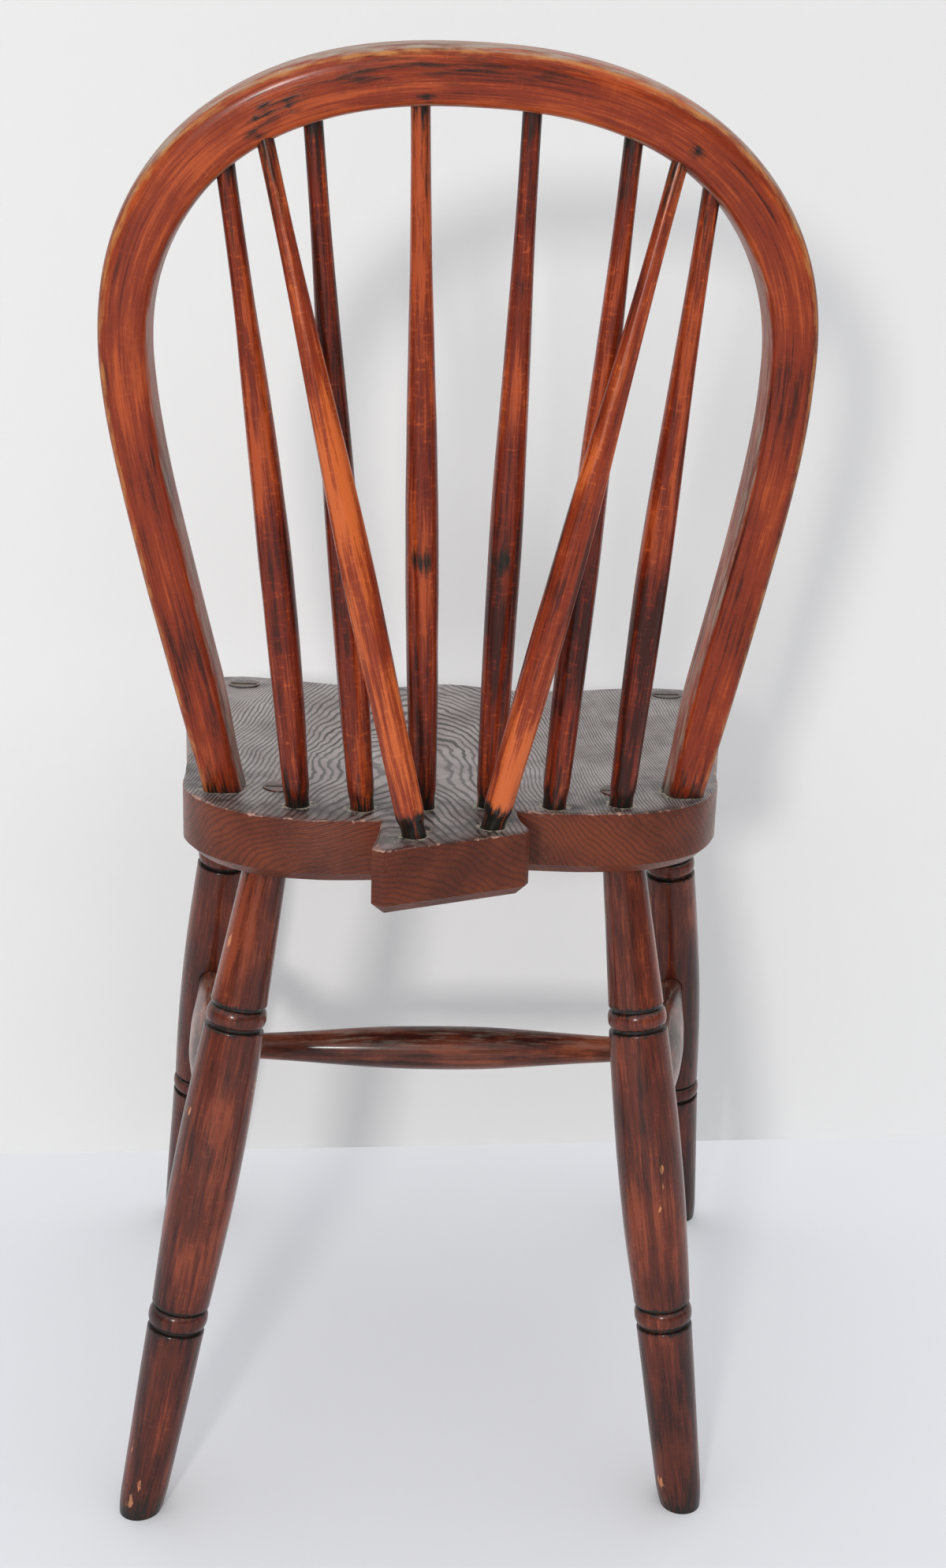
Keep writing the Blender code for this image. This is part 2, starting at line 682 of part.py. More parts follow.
def make_cross_stretcher(sides):
    """The cross stretcher, and its sockets in the side stretchers' middles."""
    left = side_stretcher_ends("left")[2]
    right = side_stretcher_ends("right")[2]
    way = (right - left).normalized()
    start, end = left - way * CROSS_IN_SIDE, right + way * CROSS_IN_SIDE
    radii = (CROSS_STRETCHER_END_R, CROSS_STRETCHER_MID_R)
    mouth = CROSS_IN_SIDE + SIDE_STRETCHER_MID_R + CUT_PAST / 2
    for side, tip, other in (("left", start, end), ("right", end, start)):
        stretcher_socket(sides[side], "cross_socket", tip, other, mouth, *radii)
    return loft("cross_stretcher", stretcher_rings(start, end, *radii), "turned_beech")


def spindle_line(foot_x, foot_y, top_x, behind=0.0):
    """Foot on the seat, top on the bow's middle line, and the unit vector between them."""
    foot = on_seat(foot_x, foot_y)
    top = in_bow(top_x, bow_point(top_x), -behind)
    return foot, top, (top - foot).normalized()


def spindle_rings(line, foot_r, heel_r, swell_r, top_r, swell_at):
    """Rings of a spindle from its tenon's tip in the seat to its tip in the bow."""
    foot, top, way = line
    length = (top - foot).length
    widest = swell_at * length
    neck = length - SPINDLE_TOP_TENON
    pairs = [(-SPINDLE_TENON, foot_r), (SPINDLE_HEEL_LOW, foot_r), (SPINDLE_HEEL, heel_r)]
    for step in range(1, SPINDLE_RISE_STEPS + 1):
        share = step / SPINDLE_RISE_STEPS
        rise = SPINDLE_HEEL + (widest - SPINDLE_HEEL) * share
        pairs.append((rise, heel_r + (swell_r - heel_r) * math.sin(share * math.pi / 2)))
    for step in range(1, SPINDLE_FALL_STEPS + 1):
        share = step / SPINDLE_FALL_STEPS
        rise = widest + (neck - widest) * share
        pairs.append((rise, top_r + (swell_r - top_r) * (0.5 + 0.5 * math.cos(share * math.pi))))
    pairs.append((length, top_r))
    return [ring(foot + way * rise, way, radius, SPINDLE_SIDES) for rise, radius in pairs]


def socket_spindle(seat, hoop, label, line, foot_r, top_r):
    """A spindle's blind sockets in the seat and in the bow."""
    foot, top, way = line
    deep = foot - way * (SPINDLE_TENON + SOCKET_SPARE)
    bore(seat, f"{label}_foot", deep, foot + way * CUT_PAST, foot_r + CLEARANCE, SPINDLE_SIDES)
    below = top - way * (SPINDLE_TOP_TENON + CUT_PAST)
    above = top + way * SOCKET_SPARE
    bore(hoop, f"{label}_top", below, above, top_r + CLEARANCE, SPINDLE_SIDES)


def make_back(seat):
    """The bow, its six spindles and its two braces, socketed into the seat and the bow."""
    hoop = make_bow()
    for end, label in ((0, "left_foot"), (-1, "right_foot")):
        foot, down = bow_foot(end)
        tip = foot + down * (BOW_TENON_LENGTH + SOCKET_SPARE)
        mouth = foot - down * CUT_PAST
        bore(seat, f"bow_{label}", mouth, tip, BOW_TENON_R + CLEARANCE, BOW_SIDES)
    for number, place in enumerate(SPINDLES, start=1):
        line = spindle_line(*place)
        rings = spindle_rings(
            line, SPINDLE_FOOT_R, SPINDLE_HEEL_R, SPINDLE_SWELL_R, SPINDLE_TOP_R, SPINDLE_SWELL
        )
        loft(f"back_spindle_{number}", rings, "turned_beech")
        socket_spindle(seat, hoop, f"spindle_{number}", line, SPINDLE_FOOT_R, SPINDLE_TOP_R)
    for side, place in BRACES.items():
        line = spindle_line(*place, BRACE_BEHIND)
        rings = spindle_rings(
            line, BRACE_FOOT_R, BRACE_HEEL_R, BRACE_SWELL_R, BRACE_TOP_R, BRACE_SWELL
        )
        loft(f"brace_spindle_{side}", rings, "turned_beech")
        socket_spindle(seat, hoop, f"brace_{side}", line, BRACE_FOOT_R, BRACE_TOP_R)


def make_legs(seat):
    """The four legs with their reamed holes in the seat, kerfs and wedges."""
    legs = {}
    for place in LEG_FEET:
        legs[place] = make_leg(place)
        _, head, way = leg_line(place)
        depth = SEAT_THICKNESS / way.z
        taper = (LEG_SEAT_R - LEG_TENON_R) / depth
        low = head - way * (depth + CUT_PAST)
        high = head + way * CUT_PAST
        low_r = LEG_SEAT_R + taper * CUT_PAST + CLEARANCE
        high_r = LEG_TENON_R - taper * CUT_PAST + CLEARANCE
        bore(seat, f"leg_{place}", low, high, low_r, LEG_SIDES, high_r)
        cut_kerf(legs[place], place)
        make_wedge(place)
    return legs


def stand_on_origin():
    """Moves the chair so that the origin is under the middle of its bounding box."""
    solid = [p for p in bpy.data.objects if p.type == "MESH" and not p.hide_render]
    points = np.array([v.co[:] for p in solid for v in p.data.vertices])
    low, high = points.min(axis=0), points.max(axis=0)
    chair.location = (-(low[0] + high[0]) / 2, -(low[1] + high[1]) / 2, -low[2])


for old in list(bpy.data.objects):
    bpy.data.objects.remove(old, do_unlink=True)

chair = bpy.data.objects.new("chair", None)
bpy.context.scene.collection.objects.link(chair)

seat_board = make_seat()
four_legs = make_legs(seat_board)
two_sides = {side: make_side_stretcher(side, four_legs) for side in ("left", "right")}
make_cross_stretcher(two_sides)
make_back(seat_board)
stand_on_origin()
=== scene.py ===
"""Hoop-back side chair with a braced back, dressed. Metres, +Z up, its back towards -Y."""
import math

import bpy
import numpy as np
from mathutils import Matrix, Vector


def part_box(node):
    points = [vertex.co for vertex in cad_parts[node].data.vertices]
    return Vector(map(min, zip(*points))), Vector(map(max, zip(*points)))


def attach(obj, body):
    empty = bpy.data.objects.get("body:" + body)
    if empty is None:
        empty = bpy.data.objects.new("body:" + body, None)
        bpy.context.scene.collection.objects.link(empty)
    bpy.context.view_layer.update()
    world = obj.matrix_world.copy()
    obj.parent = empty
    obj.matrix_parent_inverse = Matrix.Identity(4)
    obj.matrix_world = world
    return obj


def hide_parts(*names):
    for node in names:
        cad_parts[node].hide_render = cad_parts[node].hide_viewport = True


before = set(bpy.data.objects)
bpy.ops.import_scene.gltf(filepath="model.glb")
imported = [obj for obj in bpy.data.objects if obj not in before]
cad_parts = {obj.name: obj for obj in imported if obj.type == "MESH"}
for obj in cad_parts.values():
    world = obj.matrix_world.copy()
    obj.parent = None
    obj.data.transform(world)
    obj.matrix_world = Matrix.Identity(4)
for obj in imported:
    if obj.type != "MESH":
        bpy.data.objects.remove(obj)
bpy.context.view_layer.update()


# Seat board
# One thick elm plank, sawn to a shield outline with a tail at the back, saddled with an adze and
# scraped. The legs, the bow and the spindles are driven into holes bored through it or into it.
SEAT_HEIGHT = 0.464
SEAT_RISE = 0.029
SEAT_THICKNESS = 0.0388
TOP_EDGE = 0.0016
UNDER_CHAMFER = 0.0062
SEAT_FRONT = 0.1460
BOARD_EDGE = (
    (0.0380, -0.1552), (0.0860, -0.1560), (0.1240, -0.1480), (0.1515, -0.1270), (0.1648, -0.0990),
    (0.1700, -0.0600), (0.1815, 0.0020), (0.1890, 0.0700), (0.1905, 0.1000), (0.1900, 0.1210),
    (0.1860, 0.1355), (0.1770, 0.1440), (0.1620, 0.1475), (0.1350, 0.1465), (0.1050, 0.1450),
    (0.0000, SEAT_FRONT), (-0.1050, 0.1450), (-0.1350, 0.1462), (-0.1590, 0.1468),
    (-0.1730, 0.1432), (-0.1820, 0.1350), (-0.1862, 0.1210), (-0.1868, 0.1000), (-0.1810, 0.0350),
    (-0.1700, -0.0320), (-0.1640, -0.0900), (-0.1600, -0.1245), (-0.1430, -0.1520),
    (-0.1170, -0.1705), (-0.0800, -0.1788), (-0.0410, -0.1772),
)
DISH_DEPTH = 0.0085
DISH_HALF_WIDTH = 0.152
DISH_SIDE_RAMP = 1.6
DISH_REAR = -0.120
DISH_REAR_RAMP = 0.110
DISH_FRONT_RAMP = 0.020
DISH_FRONT_SHARE = 0.50
RIDGE_SHARE = 0.75
RIDGE_HALF_WIDTH = 0.045
OVAL_MIDDLE = 0.010
OVAL_HALF_WIDTH = 0.150
OVAL_FRONT = 0.115
OVAL_REAR = 0.140
OVAL_POWER = 3.2
TAIL_END_HALF_WIDTH = 0.0455
TAIL_REACH_LEFT = 0.2325
TAIL_REACH_RIGHT = 0.1905
TAIL_CORNER = 0.0010
TAIL_FLARE = 0.60
UNDER_OVAL_SHARE = 0.96
RIM_CROWDING = 1.4
SCRAPED_TOP = 0.0003
GAP = 0.0003


def smooth(share):
    """Eased step: 3t^2 - 2t^3, held at 0 and 1 outside."""
    share = np.clip(share, 0.0, 1.0)
    return share * share * (3.0 - 2.0 * share)


def seat_plane(y):
    """The board's flat upper face: its height at the middle plus its rise times y."""
    return SEAT_HEIGHT + SEAT_RISE * y


def dish(x, y):
    """Depth of the saddling: eased across, eased from the rear, shallower at the front, less a ridge."""
    across = smooth(DISH_SIDE_RAMP * (1.0 - np.abs(x) / DISH_HALF_WIDTH))
    along = smooth((y - DISH_REAR) / DISH_REAR_RAMP)
    front = smooth((y - DISH_FRONT_RAMP) / (SEAT_FRONT - DISH_FRONT_RAMP))
    ridge = RIDGE_SHARE * front * smooth(1.0 - np.abs(x) / RIDGE_HALF_WIDTH)
    return DISH_DEPTH * across * along * (1.0 - (1.0 - DISH_FRONT_SHARE) * front) * (1.0 - ridge)


def curve_through(points, steps):
    """A smooth line through points: a cubic for each stretch, whose slopes at its two ends follow
    the points on either side of them. Gives so many points for each stretch."""
    p = np.array(points)
    t = np.concatenate([[0.0], np.cumsum(np.linalg.norm(np.diff(p, axis=0), axis=1))])
    slope = np.gradient(p, t, axis=0)
    i, s = np.divmod(np.arange(steps * (len(p) - 1)) / steps, 1.0)
    i, s = i.astype(int), s[:, None]
    bend = s * (1 - s) * (t[i + 1] - t[i])[:, None]
    line = smooth(1 - s) * p[i] + smooth(s) * p[i + 1] + bend * ((1 - s) * slope[i] - s * slope[i + 1])
    return np.concatenate([line, p[-1:]])


def tail_side(root, corner, other):
    """One side of the tail down to its sawn-off corner: curved outwards from its root, then
    straight. The cut is square to the corner's middle and wide enough for the chamfer."""
    root = np.array(root)
    share = np.linspace(0.0, TAIL_FLARE, 9)[1:, None]
    side = root + (corner - root) * np.concatenate([share**2, share], axis=1)
    back = (side[-1] - corner) / np.linalg.norm(side[-1] - corner)
    on = (other - corner) / np.linalg.norm(other - corner)
    half = math.acos(float(back @ on)) / 2
    half_cut = UNDER_CHAMFER * math.tan((math.pi / 2 - half) / 2) + TAIL_CORNER / 2
    reach = half_cut / math.sin(half)
    straight = np.linspace(side[-1], corner + back * reach, 4)[1:]
    return np.concatenate([side, straight, [corner + on * reach]])


def tail_outline():
    """The tail's outline from the left root to the right one: flared sides, and an askew end."""
    left = np.array((-TAIL_END_HALF_WIDTH, -TAIL_REACH_LEFT))
    right = np.array((TAIL_END_HALF_WIDTH, -TAIL_REACH_RIGHT))
    left_side, right_side = tail_side(BOARD_EDGE[-1], left, right), tail_side(BOARD_EDGE[0], right, left)
    end = np.linspace(left_side[-1], right_side[-1], 13)[1:-1]
    return np.concatenate([left_side, end, right_side[::-1]])


def inset(line, distance):
    """A closed anticlockwise outline moved inwards along the mitre at each point."""
    along = np.roll(line, -1, axis=0) - line
    along /= np.linalg.norm(along, axis=1)[:, None]
    inward = np.stack([-along[:, 1], along[:, 0]], axis=1)
    both = inward + np.roll(inward, 1, axis=0)
    both /= np.linalg.norm(both, axis=1)[:, None]
    return line + both * (distance / np.sum(both * inward, axis=1))[:, None]


def unevenness(p, size, seed, longest):
    """Gentle unevenness: a sum of eight sine waves of seeded directions and lengths."""
    draw = np.random.default_rng(seed)
    total = np.zeros(p.shape[:-1])
    for _ in range(8):
        way = draw.normal(size=3)
        way *= 2 * math.pi / (draw.uniform(0.3, 1.0) * longest * np.linalg.norm(way))
        total += np.sin(p @ way + draw.uniform(0, 2 * math.pi))
    return size * total / 4


def placed(name, vertices, faces):
    """A smooth-shaded mesh object that stands where the frame's chair stands."""
    mesh = bpy.data.meshes.new(name)
    mesh.from_pydata((vertices + HERE).tolist(), [], faces)
    mesh.shade_smooth()
    made = bpy.data.objects.new(name, mesh)
    bpy.context.scene.collection.objects.link(made)
    return made


def skin(name, grid):
    """A closed skin over a grid: each row is a loop that runs anticlockwise seen from the last row,
    and the first and last rows close to a point in their middle."""
    rows, columns = grid.shape[:2]
    index = np.arange(rows * columns).reshape(rows, columns)
    a, d = index[:-1], index[1:]
    quads = np.stack([a, np.roll(a, -1, axis=1), np.roll(d, -1, axis=1), d], axis=-1).reshape(-1, 4)
    low, high = index[0], index[-1]
    under = np.stack([np.roll(low, -1), low, np.full(columns, rows * columns)], axis=-1)
    over = np.stack([high, np.roll(high, -1), np.full(columns, rows * columns + 1)], axis=-1)
    vertices = np.concatenate([grid.reshape(-1, 3), [grid[0].mean(axis=0), grid[-1].mean(axis=0)]])
    return placed(name, vertices, quads.tolist() + under.tolist() + over.tolist())


def square_to(way):
    """Two unit vectors square to a direction: level and across it, and the rest of the hand."""
    way = np.array(way) / np.linalg.norm(way)
    level = np.cross((0.0, 1.0, 0.0) if abs(way[1]) <= abs(way[2]) else (0.0, 0.0, 1.0), way)
    level /= np.linalg.norm(level)
    return level, np.cross(way, level), way


def round_rows(start, way, along, radius, columns):
    """Rings round an axis: start + way * along + radius * (cos * level + sin * rest)."""
    level, rest, way = square_to(way)
    turn = 2 * math.pi * np.arange(columns) / columns
    circle = np.cos(turn)[:, None] * level + np.sin(turn)[:, None] * rest
    centre = np.array(start) + np.asarray(along)[:, None] * way
    return centre[:, None, :] + np.broadcast_to(radius, (len(along), columns))[:, :, None] * circle


sockets = {}


def bore(owner, start, end, start_radius, end_radius=None):
    """Notes a round hole, drilled or reamed from start to end, for settle() to cut."""
    way = np.array(end) - np.array(start)
    radii = np.array([[start_radius], [end_radius or start_radius]])
    rows = round_rows(start, way, np.array([0.0, np.linalg.norm(way)]), radii, 28)
    sockets.setdefault(owner.name, []).append(rows)


def settle(owner):
    """Cuts a piece's noted holes out of it and keeps the result as its mesh."""
    cutters = [skin(f"{owner.name}_hole_{i}", rows) for i, rows in enumerate(sockets.get(owner.name, ()))]
    group = bpy.data.collections.new("holes")
    for cutter in cutters:
        group.objects.link(cutter)
    if cutters:
        cut = owner.modifiers.new("holes", "BOOLEAN")
        cut.operand_type = "COLLECTION"
        cut.collection = group
        cut.solver = "EXACT"
        graph = bpy.context.evaluated_depsgraph_get()
        owner.data = bpy.data.meshes.new_from_object(owner.evaluated_get(graph))
        owner.modifiers.clear()
    for cutter in cutters:
        bpy.data.objects.remove(cutter, do_unlink=True)
    bpy.data.collections.remove(group)
    owner.data.shade_smooth()
    owner.data.set_sharp_from_angle(angle=math.radians(38))


def points_of(piece):
    """A piece's points in the chair's own axes."""
    flat = np.empty(len(piece.data.vertices) * 3)
    piece.data.vertices.foreach_get("co", flat)
    return flat.reshape(-1, 3) - HERE


def paint(piece, grain, **masks):
    """Stores on a piece's points where they lie in its grain, and how each mask falls on them."""
    stored = piece.data.attributes.new("grain", "FLOAT_VECTOR", "POINT")
    stored.data.foreach_set("vector", np.ascontiguousarray(grain, np.float32).ravel())
    for name in ("tone", "grime", "wear", "dust"):
        values = np.broadcast_to(masks.get(name, 0.0), len(grain))
        stored = piece.data.attributes.new(name, "FLOAT", "POINT")
        stored.data.foreach_set("value", np.ascontiguousarray(values, np.float32))


def nearest_on(points, line):
    """For each point of a plane, which point of a line is nearest and how far off it is."""
    which, away = [], []
    for first in range(0, len(points), 4000):
        square = ((points[first:first + 4000, None] - line) ** 2).sum(axis=2)
        which.append(square.argmin(axis=1))
        away.append(np.sqrt(square.min(axis=1)))
    return np.concatenate(which), np.concatenate(away)


def bearing_way(degrees):
    """The level unit vector on a bearing, in degrees from +X towards +Y."""
    return np.array([math.cos(math.radians(degrees)), math.sin(math.radians(degrees)), 0.0])


def stands_for(piece, node, finish):
    """Gives a piece its finish and puts it in place of its node."""
    piece.data.materials.clear()
    piece.data.materials.append(finish)
    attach(piece, "root")
    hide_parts(node)


board = curve_through(BOARD_EDGE, 11)
outline = np.concatenate([board, tail_outline()])
# Where the chair's own origin lies in the frame.
HERE = np.array([*(np.array(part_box("seat")[0])[:2] - outline.min(axis=0)), 0.0])


def board_rows():
    """Rows of the outline from the underside's middle, over the chamfer, side and eased edge, to the
    saddle's middle. Past the edge each row is a blend of the outline and a superellipse."""
    angle = np.unwrap(np.arctan2(outline[:, 1] - OVAL_MIDDLE, outline[:, 0]))
    last = len(board) - 1
    angle[last:] = np.linspace(angle[last], angle[0] + 2 * math.pi, len(outline) - last + 1)[:-1]
    c, s = np.cos(angle), np.sin(angle)
    reach = (np.abs(c / OVAL_HALF_WIDTH) ** OVAL_POWER
             + np.abs(s / np.where(s > 0, OVAL_FRONT, OVAL_REAR)) ** OVAL_POWER) ** (-1 / OVAL_POWER)
    oval = np.stack([reach * c, OVAL_MIDDLE + reach * s], axis=1)
    middle = np.array([0.0, OVAL_MIDDLE])
    rows = []
    lowest, flat = inset(outline, UNDER_CHAMFER), middle + (oval - middle) * UNDER_OVAL_SHARE
    side, steps = SEAT_THICKNESS - UNDER_CHAMFER, np.linspace(0.0, 1.0, 6)[1:]
    for share in np.linspace(0.1, 1.0, 6):
        rows.append((middle + (oval - middle) * UNDER_OVAL_SHARE * share, SEAT_THICKNESS, 0.0))
    for share in steps:
        rows.append((flat + (lowest - flat) * share, SEAT_THICKNESS, 0.0))
    for share in steps:
        pulled = inset(outline, UNDER_CHAMFER * (1 - share))
        rows.append((pulled, SEAT_THICKNESS - UNDER_CHAMFER * share, 0.0))
    for share in np.linspace(0.0, 1.0, 12)[1:]:
        rows.append((outline, side - (side - TOP_EDGE) * share, share))
    for turn in np.linspace(0.0, math.pi / 2, 5)[1:]:
        pulled = inset(outline, TOP_EDGE * (1 - math.cos(turn)))
        rows.append((pulled, TOP_EDGE * (1 - math.sin(turn)), 1.0))
    edge = rows[-1][0]
    for share in np.linspace(0.0, 1.0, 12)[1:] ** RIM_CROWDING:
        rows.append((edge + (oval - edge) * share, 0.0, 1.0))
    for share in np.linspace(1.0, 0.01, 30)[1:]:
        rows.append((middle + (oval - middle) * share, 0.0, 1.0))
    plan = np.array([row[0] for row in rows])
    drop, saddled = np.array([row[1:] for row in rows]).T[..., None]
    x, y = np.moveaxis(plan, -1, 0)
    return np.stack([x, y, seat_plane(y) - drop - saddled * dish(x, y)], axis=-1)


board_grid = board_rows()
x, y, z = np.moveaxis(board_grid, -1, 0)
flat_top = seat_plane(y) - dish(x, y) - z < TOP_EDGE / 8
board_grid[..., 2] -= flat_top * np.abs(unevenness(board_grid, SCRAPED_TOP, 3, 0.05))
seat = skin("seat_board", board_grid)


# Legs
# Turned from beech: a bead high and a bead low, a long swell between them, and a tapered tenon
# driven up through the board and spread by a hardwood wedge. Stained dark and varnished.
LEG_FEET = {
    "rear_left": (-0.1850, -0.1824), "rear_right": (0.1605, -0.1764),
    "front_left": (-0.2105, 0.1870), "front_right": (0.2070, 0.1888),
}
LEG_HEADS = {
    "rear_left": (-0.1030, -0.1196), "rear_right": (0.1014, -0.1119),
    "front_left": (-0.1512, 0.1238), "front_right": (0.1610, 0.1270),
}
FRONT_LEG_GIRTH = 1.06
LEG_FOOT_R = 0.0142
LEG_ANKLE_R = 0.0180
LEG_SWELL_R = 0.0210
LEG_KNEE_R = 0.0186
LEG_NECK_R = 0.0175
LEG_SEAT_R = 0.0128
LEG_TENON_R = 0.0103
LEG_SWELL_HEIGHT = 0.226
LOW_BEAD = 0.1285
HIGH_BEAD = {"rear": 0.3205, "front": 0.3300}
BEAD_R = 0.0186
BEAD_HALF = 0.0056
GROOVE_WIDTH = 0.0020
GROOVE_DEPTH = 0.0028
SHOULDER = 0.0009
TENON_PROUD = 0.0006
WEDGE_WIDTH = 0.0026
WEDGE_LENGTH = 0.0150
CUT_PAST = 0.010
LEG_ROWS = 130
LEG_COLUMNS = 48
BEAD_ROWS = 40
BEAD_REACH = 0.0105
FOOT_EASE = 0.0012
LEG_OVAL = 0.008
LEG_THINNER = 0.018
SOCKET_HEIGHT = 0.235
# How far the darkening reaches: from a groove; grime from the floor and round a stretcher; and painted shade
# under the seat.
GROOVE_DARK_REACH = 0.0022
FOOT_GRIME = 0.012
SOCKET_GRIME = 0.020
UNDER_SEAT_SHADE = 0.030
# Chips down to bare wood: height, bearing in degrees, half height and half width.
LEG_CHIPS = {
    "rear_left": ((0.2652, -142, 0.0030, 0.0017), (0.2791, -16, 0.0026, 0.0015),
                  (0.3690, -143, 0.0028, 0.0014), (0.0250, -99, 0.0022, 0.0011),
                  (0.0129, -115, 0.0030, 0.0022), (0.0480, -140, 0.0018, 0.0010)),
    "rear_right": ((0.2206, -78, 0.0046, 0.0013), (0.2314, -75, 0.0022, 0.0010),
                   (0.2066, -82, 0.0020, 0.0010), (0.1688, -92, 0.0018, 0.0013),
                   (0.0194, -143, 0.0030, 0.0022)),
    "front_left": ((0.1500, -120, 0.0028, 0.0015), (0.0150, -60, 0.0034, 0.0022)),
    "front_right": ((0.2500, -100, 0.0028, 0.0015), (0.0200, -150, 0.0034, 0.0022)),
}


def leg_line(place):
    """Foot and head of a leg's axis as arrays, and the unit vector between them."""
    foot = np.array([*LEG_FEET[place], 0.0])
    x, y = LEG_HEADS[place]
    head = np.array([x, y, seat_plane(y)])
    return foot, head, (head - foot) / np.linalg.norm(head - foot)


def leg_radius(height, place):
    """The turned profile: eased body between the beads, round beads, flat grooves, soft shoulders."""
    high = HIGH_BEAD[place.split("_")[0]]
    top = seat_plane(LEG_HEADS[place][1])
    under = top - SEAT_THICKNESS
    edge = BEAD_HALF + GROOVE_WIDTH
    foot = LEG_FOOT_R + (LEG_ANKLE_R - LEG_FOOT_R) * np.clip(height / (LOW_BEAD - edge), 0, 1) ** 0.95
    rise = np.clip((height - LOW_BEAD - edge) / (LEG_SWELL_HEIGHT - LOW_BEAD - edge), 0, 1)
    swell = LEG_ANKLE_R + (LEG_SWELL_R - LEG_ANKLE_R) * np.sin(rise * math.pi / 2)
    fall = np.clip((height - LEG_SWELL_HEIGHT) / (high - edge - LEG_SWELL_HEIGHT), 0, 1)
    knee = LEG_KNEE_R + (LEG_SWELL_R - LEG_KNEE_R) * np.cos(fall * math.pi / 2)
    neck = np.interp(height, (high + edge, under, top), (LEG_NECK_R, LEG_SEAT_R, LEG_TENON_R))
    body = np.where(height < LOW_BEAD, foot, np.where(height < LEG_SWELL_HEIGHT, swell, knee))
    body = np.where(height > high, neck, body)
    deep = BEAD_R - GROOVE_DEPTH
    for middle in (LOW_BEAD, high):
        away = np.abs(height - middle)
        hump = np.sqrt(np.clip(1 - (away / BEAD_HALF) ** 2, 0, 1)) ** 0.85
        bead = deep + (BEAD_R - deep) * hump
        eased = np.sqrt(np.clip(1 - (1 - np.clip((away - edge) / SHOULDER, 0, 1)) ** 2, 0, 1))
        body = np.where(away < edge, bead, body - SHOULDER * (1 - eased))
    return body * (FRONT_LEG_GIRTH if place.startswith("front") else 1.0)


def slid(rows, way, end, height, slope, reach):
    """Rows near one end slid along the axis, so that the last of them lies in the plane
    z = height + slope * y. The slide fades out over a length from that end."""
    way = np.array(way)
    last = rows[end]
    gap = (height + slope * last[:, 1] - last[:, 2]) / (way[2] - slope * way[1])
    away = np.linalg.norm(rows.mean(axis=1) - last.mean(axis=0), axis=1)
    share = 1 - smooth(away / reach)
    return rows + share[:, None, None] * gap[None, :, None] * way


def spread_marks(points, marks):
    """How strongly listed marks fall on points: the most of exp(-(distance / size)^2) over them."""
    total = np.zeros(len(points))
    for place, size in marks:
        away = np.linalg.norm((points - np.array(place)) / np.array(size), axis=1)
        total = np.maximum(total, np.exp(-away**2))
    return total


def tree_of(name, takes, gives):
    """An empty shader group with named inputs and outputs, each given with its kind."""
    tree = bpy.data.node_groups.new(name, "ShaderNodeTree")
    for way, sockets_of in (("INPUT", takes), ("OUTPUT", gives)):
        for label, kind in sockets_of.items():
            tree.interface.new_socket(label, in_out=way, socket_type=f"NodeSocket{kind}")
    return tree, tree.nodes.new("NodeGroupInput").outputs, tree.nodes.new("NodeGroupOutput").inputs


def wired(tree, node, inputs):
    """A node with its inputs linked or set."""
    for key, value in inputs.items():
        if isinstance(value, bpy.types.NodeSocket):
            tree.links.new(value, node.inputs[key])
        else:
            node.inputs[key].default_value = value
    return node


def add(tree, kind, inputs, **settings):
    """One shader node, with its settings, and its inputs linked or set."""
    made = tree.nodes.new(f"ShaderNode{kind}")
    for name, value in settings.items():
        setattr(made, name, value)
    return wired(tree, made, inputs)


def group_node(tree, group, inputs):
    """A group placed in a material, with its inputs linked or set."""
    made = tree.nodes.new("ShaderNodeGroup")
    made.node_tree = group
    return wired(tree, made, inputs).outputs


def attribute(tree, name, output="Fac"):
    """What was painted on a piece's points under a name."""
    return add(tree, "Attribute", {}, attribute_name=name).outputs[output]


def new_material(name):
    """A new material, its tree and its shader."""
    made = bpy.data.materials.new(name)
    made.use_nodes = True
    return made, made.node_tree, made.node_tree.nodes["Principled BSDF"]


def maths(tree, operation, first, second=0.0, third=0.0, clamp=False):
    """The result of a Math node."""
    inputs = {0: first, 1: second, 2: third}
    return add(tree, "Math", inputs, operation=operation, use_clamp=clamp).outputs[0]


def vectors(tree, operation, first, second):
    """The result of a Vector Math node."""
    return add(tree, "VectorMath", {0: first, 1: second}, operation=operation).outputs[0]


def noise(tree, vector, scale, detail, roughness, stretch=None):
    """A noise value from 0 to 1, stretched along the grain when a factor is given."""
    if stretch is not None:
        vector = vectors(tree, "MULTIPLY", vector, stretch)
    inputs = {"Vector": vector, "Scale": scale, "Detail": detail, "Roughness": roughness}
    return add(tree, "TexNoise", inputs).outputs[0]


def blended(tree, share, first, second):
    """One colour over another by a share."""
    return add(tree, "Mix", {0: share, 6: first, 7: second}, data_type="RGBA").outputs[2]


def stepped(tree, value, low, high):
    """A value eased from 0 at low to 1 at high."""
    inputs = {"Value": value, "From Min": low, "From Max": high}
    return add(tree, "MapRange", inputs, interpolation_type="SMOOTHSTEP").outputs[0]


# Blotches, broad shades, streaks, fibres and flecks: repeats to the metre, detail, roughness and
# stretch. Then how much each of the first four shifts the colour.
GRAIN_LAYERS = (
    (34, 4, 0.6, (1, 1, 0.40)), (11, 2, 0.5, (1, 1, 0.7)), (230, 5, 0.62, (1, 1, 0.055)),
    (1250, 3, 0.6, (1, 1, 0.022)), (330, 4, 0.65, (0.5, 0.5, 1.25)),
)
GRAIN_SIZES = (1.9, 1.4, 2.0, 0.9)
# Grime colour, also painted shade under the seat; dust colour, also a painted sheen on the bow.
GRIME_AND_SHADE = (0.0095, 0.0085, 0.0065, 1.0)
DUST_AND_SHEEN = (0.36, 0.31, 0.245, 1.0)


